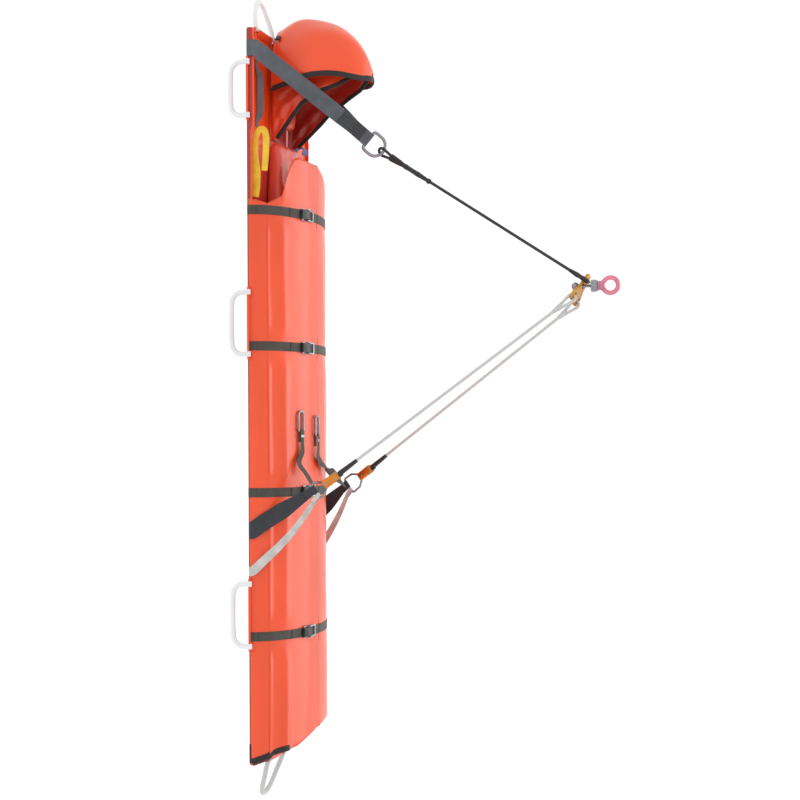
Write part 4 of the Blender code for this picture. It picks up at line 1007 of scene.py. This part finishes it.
def make_leg_sling(name, node, base_x, width, bar_off, bar_width, bow, taper, mat, back):
    """A sling round the body, up to both adjusters; past taper of the way it narrows to the bail's width."""
    halves = []
    for side in (-1, 1):
        centre, a, b, _ = adjuster_axes(side)
        bar = centre - a * BAIL[side] + b * bar_off
        edge = high(base_x, side * (HALF_W + WEB_MID + 0.0010), 0.010)
        hook = hook_path(bar, (bar - edge).normalized(), b * side, 0.0032 + WEB_MID, back)
        half = [(edge, X_AXIS, 1.0)]
        bulge = Vector((0.6, -side * 0.15, 0.8)).normalized() * bow
        for k in (0.18, 0.36, 0.54, 0.72, 0.86):
            p = edge.lerp(hook[0], k) + bulge * sin(pi * k)
            p.y += side * 0.004 * sin(pi * min(1.0, 2 * k))
            wide = width + (bar_width - width) * max(0.0, (k - taper) / (1 - taper))
            half.append((p, X_AXIS.lerp(b, min(1.0, k * 1.3)), wide / width))
        halves.append(half + [(p, b, bar_width / width) for p in hook])
    bottom = [(high(base_x, y, h), X_AXIS, 1.0) for y, h in bottom_run(WEB_MID)]
    points, across, scale = zip(*(halves[0][::-1] + bottom + halves[1]))
    dress(band(name, points, across, width, step=0.0035, scale=scale), mat, [node])


def make_tails():
    """Each spare end: an oval ring on the near flap, the web through it, its clamp, and its run to a bail."""
    stock, lift = 0.0030, 0.0066
    turn = stock + WEB_MID
    oval = arc(Vector((-0.0475, 0, lift)), Y_AXIS, -X_AXIS, 0.0110, 0, 180, 8)
    oval += [Vector((x, y, lift)) for x, y in
             ((-0.020, -0.0112), (-0.011, -0.0112), (-0.006, -0.0112), (-0.004, -0.0090), (-0.004, 0.0),
              (-0.004, 0.0090), (-0.006, 0.0112), (-0.011, 0.0112), (-0.020, 0.0112))]
    local = [Vector((0.026, 0, lift - turn))]
    local += [Vector((-0.0040 - sin(t) * turn, 0, lift - cos(t) * turn)) for t in
              (0, 0.6, 1.2, pi / 2, 1.94, 2.54, pi)]
    local += [Vector((0.030, 0, lift + turn)), Vector((0.055, 0, lift + turn * 0.8))]
    for word, x, angle, side, wide in (("near", 0.388, 61.5, -1, 0.019), ("far", 0.400, 85.0, 1, 0.023)):
        place = shell_frame(-1, angle, x)
        ring = tube(f"oval_{word}", [place @ p for p in oval], stock, 0.002, closed=True)
        dress(ring, "steel", [f"tail_ring_{word}"], "near_flap")
        slope = place.col[1].to_3d()
        centre, a, b, c = adjuster_axes(side)
        end = centre - a * (BAIL[side] + 0.002) - b * 0.004 - c * side * 0.013
        if word == "near":
            middle = [(on_shell(-1, 57.5, 0.470, 0.010), slope), (on_shell(-1, 60.0, 0.505, 0.030), slope)]
        else:
            middle = [(on_shell(-1, 89.0, 0.470, 0.010), slope),
                      (high(0.486, 0.035, 0.1340), Vector((0.3, 1, 0))),
                      (high(0.506, 0.085, 0.1350), Vector((0.6, 0.7, -0.3)))]
        points, across = zip(*([(place @ p, slope) for p in local] + middle + [(end, b)]))
        widths = [0.013] * (len(local) - 1) + [0.019] + [wide] * len(middle) + [0.018]
        tail = band(f"spare_{word}", points, across, 0.019, step=0.003, scale=[w / 0.019 for w in widths])
        if word == "near":
            dress(tail, "webbing", ["tail_near"], None)
            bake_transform(tail)
        else:
            # it leaves the near flap, is lifted where it lies on the far flap, and comes back to the adjuster
            cuts = (("spare_far", 0.0, 0.474, "near_flap", "litter", points[len(local) - 2], (0.474, 0.010)),
                    ("spare_far_mid", 0.474, 0.498, "litter", "far_flap", (0.474, 0.008), (0.497, 0.062)),
                    ("spare_far_end", 0.498, 9.0, "far_flap", "litter", (0.499, 0.066), end))
            whole = tail.data.copy()
            for name, low, top, one, two, *ends in cuts:
                piece = add_object(name, whole.copy()) if low else tail
                piece.data.name = name
                keep_faces(piece.data, lambda middle: low <= middle.x < top)
                dress(piece, "webbing", [] if low else ["tail_far"], None)
                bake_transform(piece)
        grip = [place @ Vector((at, 0, lift + turn + off)) for at, off in
                 ((0.006, 0.0016), (0.010, 0.0017), (0.014, 0.0016))]
        dress(band(f"spare_clamp_{word}", grip, slope, 0.0155, step=0.002), "steel", body="near_flap")


# ---- inside the shoulder opening
def make_pad(name, node, mat):
    """A soft pad from its solid: remeshed, smoothed and given sewn folds on its upper side."""
    obj = add_object(name, solid_mesh(node, name))
    remesh = obj.modifiers.new("remesh", "REMESH")
    remesh.mode, remesh.voxel_size = "VOXEL", 0.005
    obj.modifiers.new("even", "SMOOTH").iterations = 6
    graph = bpy.context.evaluated_depsgraph_get()
    made = bpy.data.meshes.new_from_object(obj.evaluated_get(graph))
    obj.modifiers.clear()
    obj.data = made
    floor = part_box(node)[0].z
    for v in made.vertices:
        x, y, z = v.co
        upper = clamp((z - floor - 0.012) / 0.03)
        crease = 1 - abs(sin(34 * x + 22 * y + 1.5 * sin(19 * y))) - 0.5 * abs(sin(18 * x - 41 * y + 1.3))
        channel = -0.004 * exp(-(((y + 0.03 * sin(9 * x)) / 0.006) ** 2))
        v.co.z += upper * (0.0048 * crease - 0.0024 + channel)
    made.shade_smooth()
    sub = obj.modifiers.new("soft", "SUBSURF")
    sub.levels = sub.render_levels = 1
    dress(obj, mat, [node], body_of_node[node])


def make_shoulder_straps():
    y, top, back, low = 0.151, 0.036, -0.380, 0.0112
    path = [high(-0.19, y, low), high(-0.30, y, low), high(back + 0.045, y, low)]
    path += arc(high(back, y, (low + top) / 2), -Z_AXIS, -X_AXIS, (top - low) / 2, 0, 180, 8)
    path += [high(back + 0.05, y, top), high(back + 0.12, y, top - 0.003), high(-0.250, y, top - 0.010)]
    dress(band("shoulder_far", path, Y_AXIS, 0.034, 0.003), "yellow", ["shoulder_strap_far"])
    # the near one stands on its edge: (x, height, width)
    standing = [
        (-0.252, 0.0175, 0.020), (-0.285, 0.0195, 0.025), (-0.325, 0.0200, 0.026), (-0.365, 0.0175, 0.020),
        (-0.402, 0.0185, 0.018), (-0.424, 0.0240, 0.017), (-0.4355, 0.0335, 0.017), (-0.433, 0.0430, 0.017),
        (-0.418, 0.0490, 0.018), (-0.390, 0.0500, 0.018), (-0.355, 0.0485, 0.018), (-0.322, 0.0450, 0.016)]
    path = [high(x, -0.205 + 0.0012 * sin(40 * x), h) for x, h, _ in standing]
    across = [course(path, i).cross(Y_AXIS).normalized() for i in range(len(path))]
    scale = [w / 0.020 for _, _, w in standing]
    dress(band("shoulder_near", path, across, 0.020, 0.0034, scale=scale), "yellow", ["shoulder_strap_near"])
    for k, sign in enumerate((-1, 1)):
        edge = [p + a * sign * w * 0.5 * 0.94 for p, a, (_, _, w) in zip(path, across, standing)]
        dress(tube(f"shoulder_near_edge_{k + 1}", edge, 0.0014, sides=8), "amber")


def make_inside():
    """What the shoulder opening shows: the pads, the shoulder straps, the harness web and a tab."""
    make_pad("pad_chest", "chest_pad", "liner")
    make_pad("pad_head", "head_cushion", "liner")
    make_shoulder_straps()
    raised, rest = Vector((0, 0.75, 0.66)), 0.006 + WEB_MID
    web = [(-0.635, -0.166, rest), (-0.616, -0.166, rest + 0.0005), (-0.592, -0.166, 0.0168),
           (-0.560, -0.166, 0.0180), (-0.520, -0.166, 0.0175), (-0.486, -0.165, 0.0160),
           (-0.466, -0.164, rest + 0.0005), (-0.450, -0.164, rest)]
    across = [Y_AXIS] * 2 + [raised] * 4 + [Y_AXIS] * 2
    dress(band("harness_band", [high(*p) for p in web], across, 0.018), "slate", ["harness_web"])
    refine("harness_buckle", "steel", 0.0004)
    tab = [high(x, 0.126, h) for x, h in
           ((-0.428, 0.0088), (-0.438, 0.0089), (-0.444, 0.0120), (-0.446, 0.028), (-0.442, 0.0365),
            (-0.434, 0.0385), (-0.422, 0.0350))]
    dress(band("blue_tab", tab, Y_AXIS, 0.034, 0.0018), "blue")
    for node, mat in (("stiffener_near", "liner"), ("stiffener_far", "liner"), ("base_panel", "skin")):
        nodes[node].data.materials.clear()
        nodes[node].data.materials.append(MATS[mat])


set_camera()
crown_of_dee, dee_slant = make_head_sling()
make_ropes(crown_of_dee, dee_slant)
set_stage()
make_skins()
make_foot_binding()
make_straps()
make_handles()
make_end_hems()
make_hood()
make_collar()
make_hardware()
make_leg_sling("sling_mid", "mid_sling", MID_X, MID_W, -0.0070, 0.0220, 0.0, 0.55, "mid", 0.030)
make_leg_sling("sling_grey", "grey_sling", GREY_X, GREY_W, 0.0125, 0.0120, 0.012, 0.10, "greyweb", 0.024)
make_tails()
make_inside()
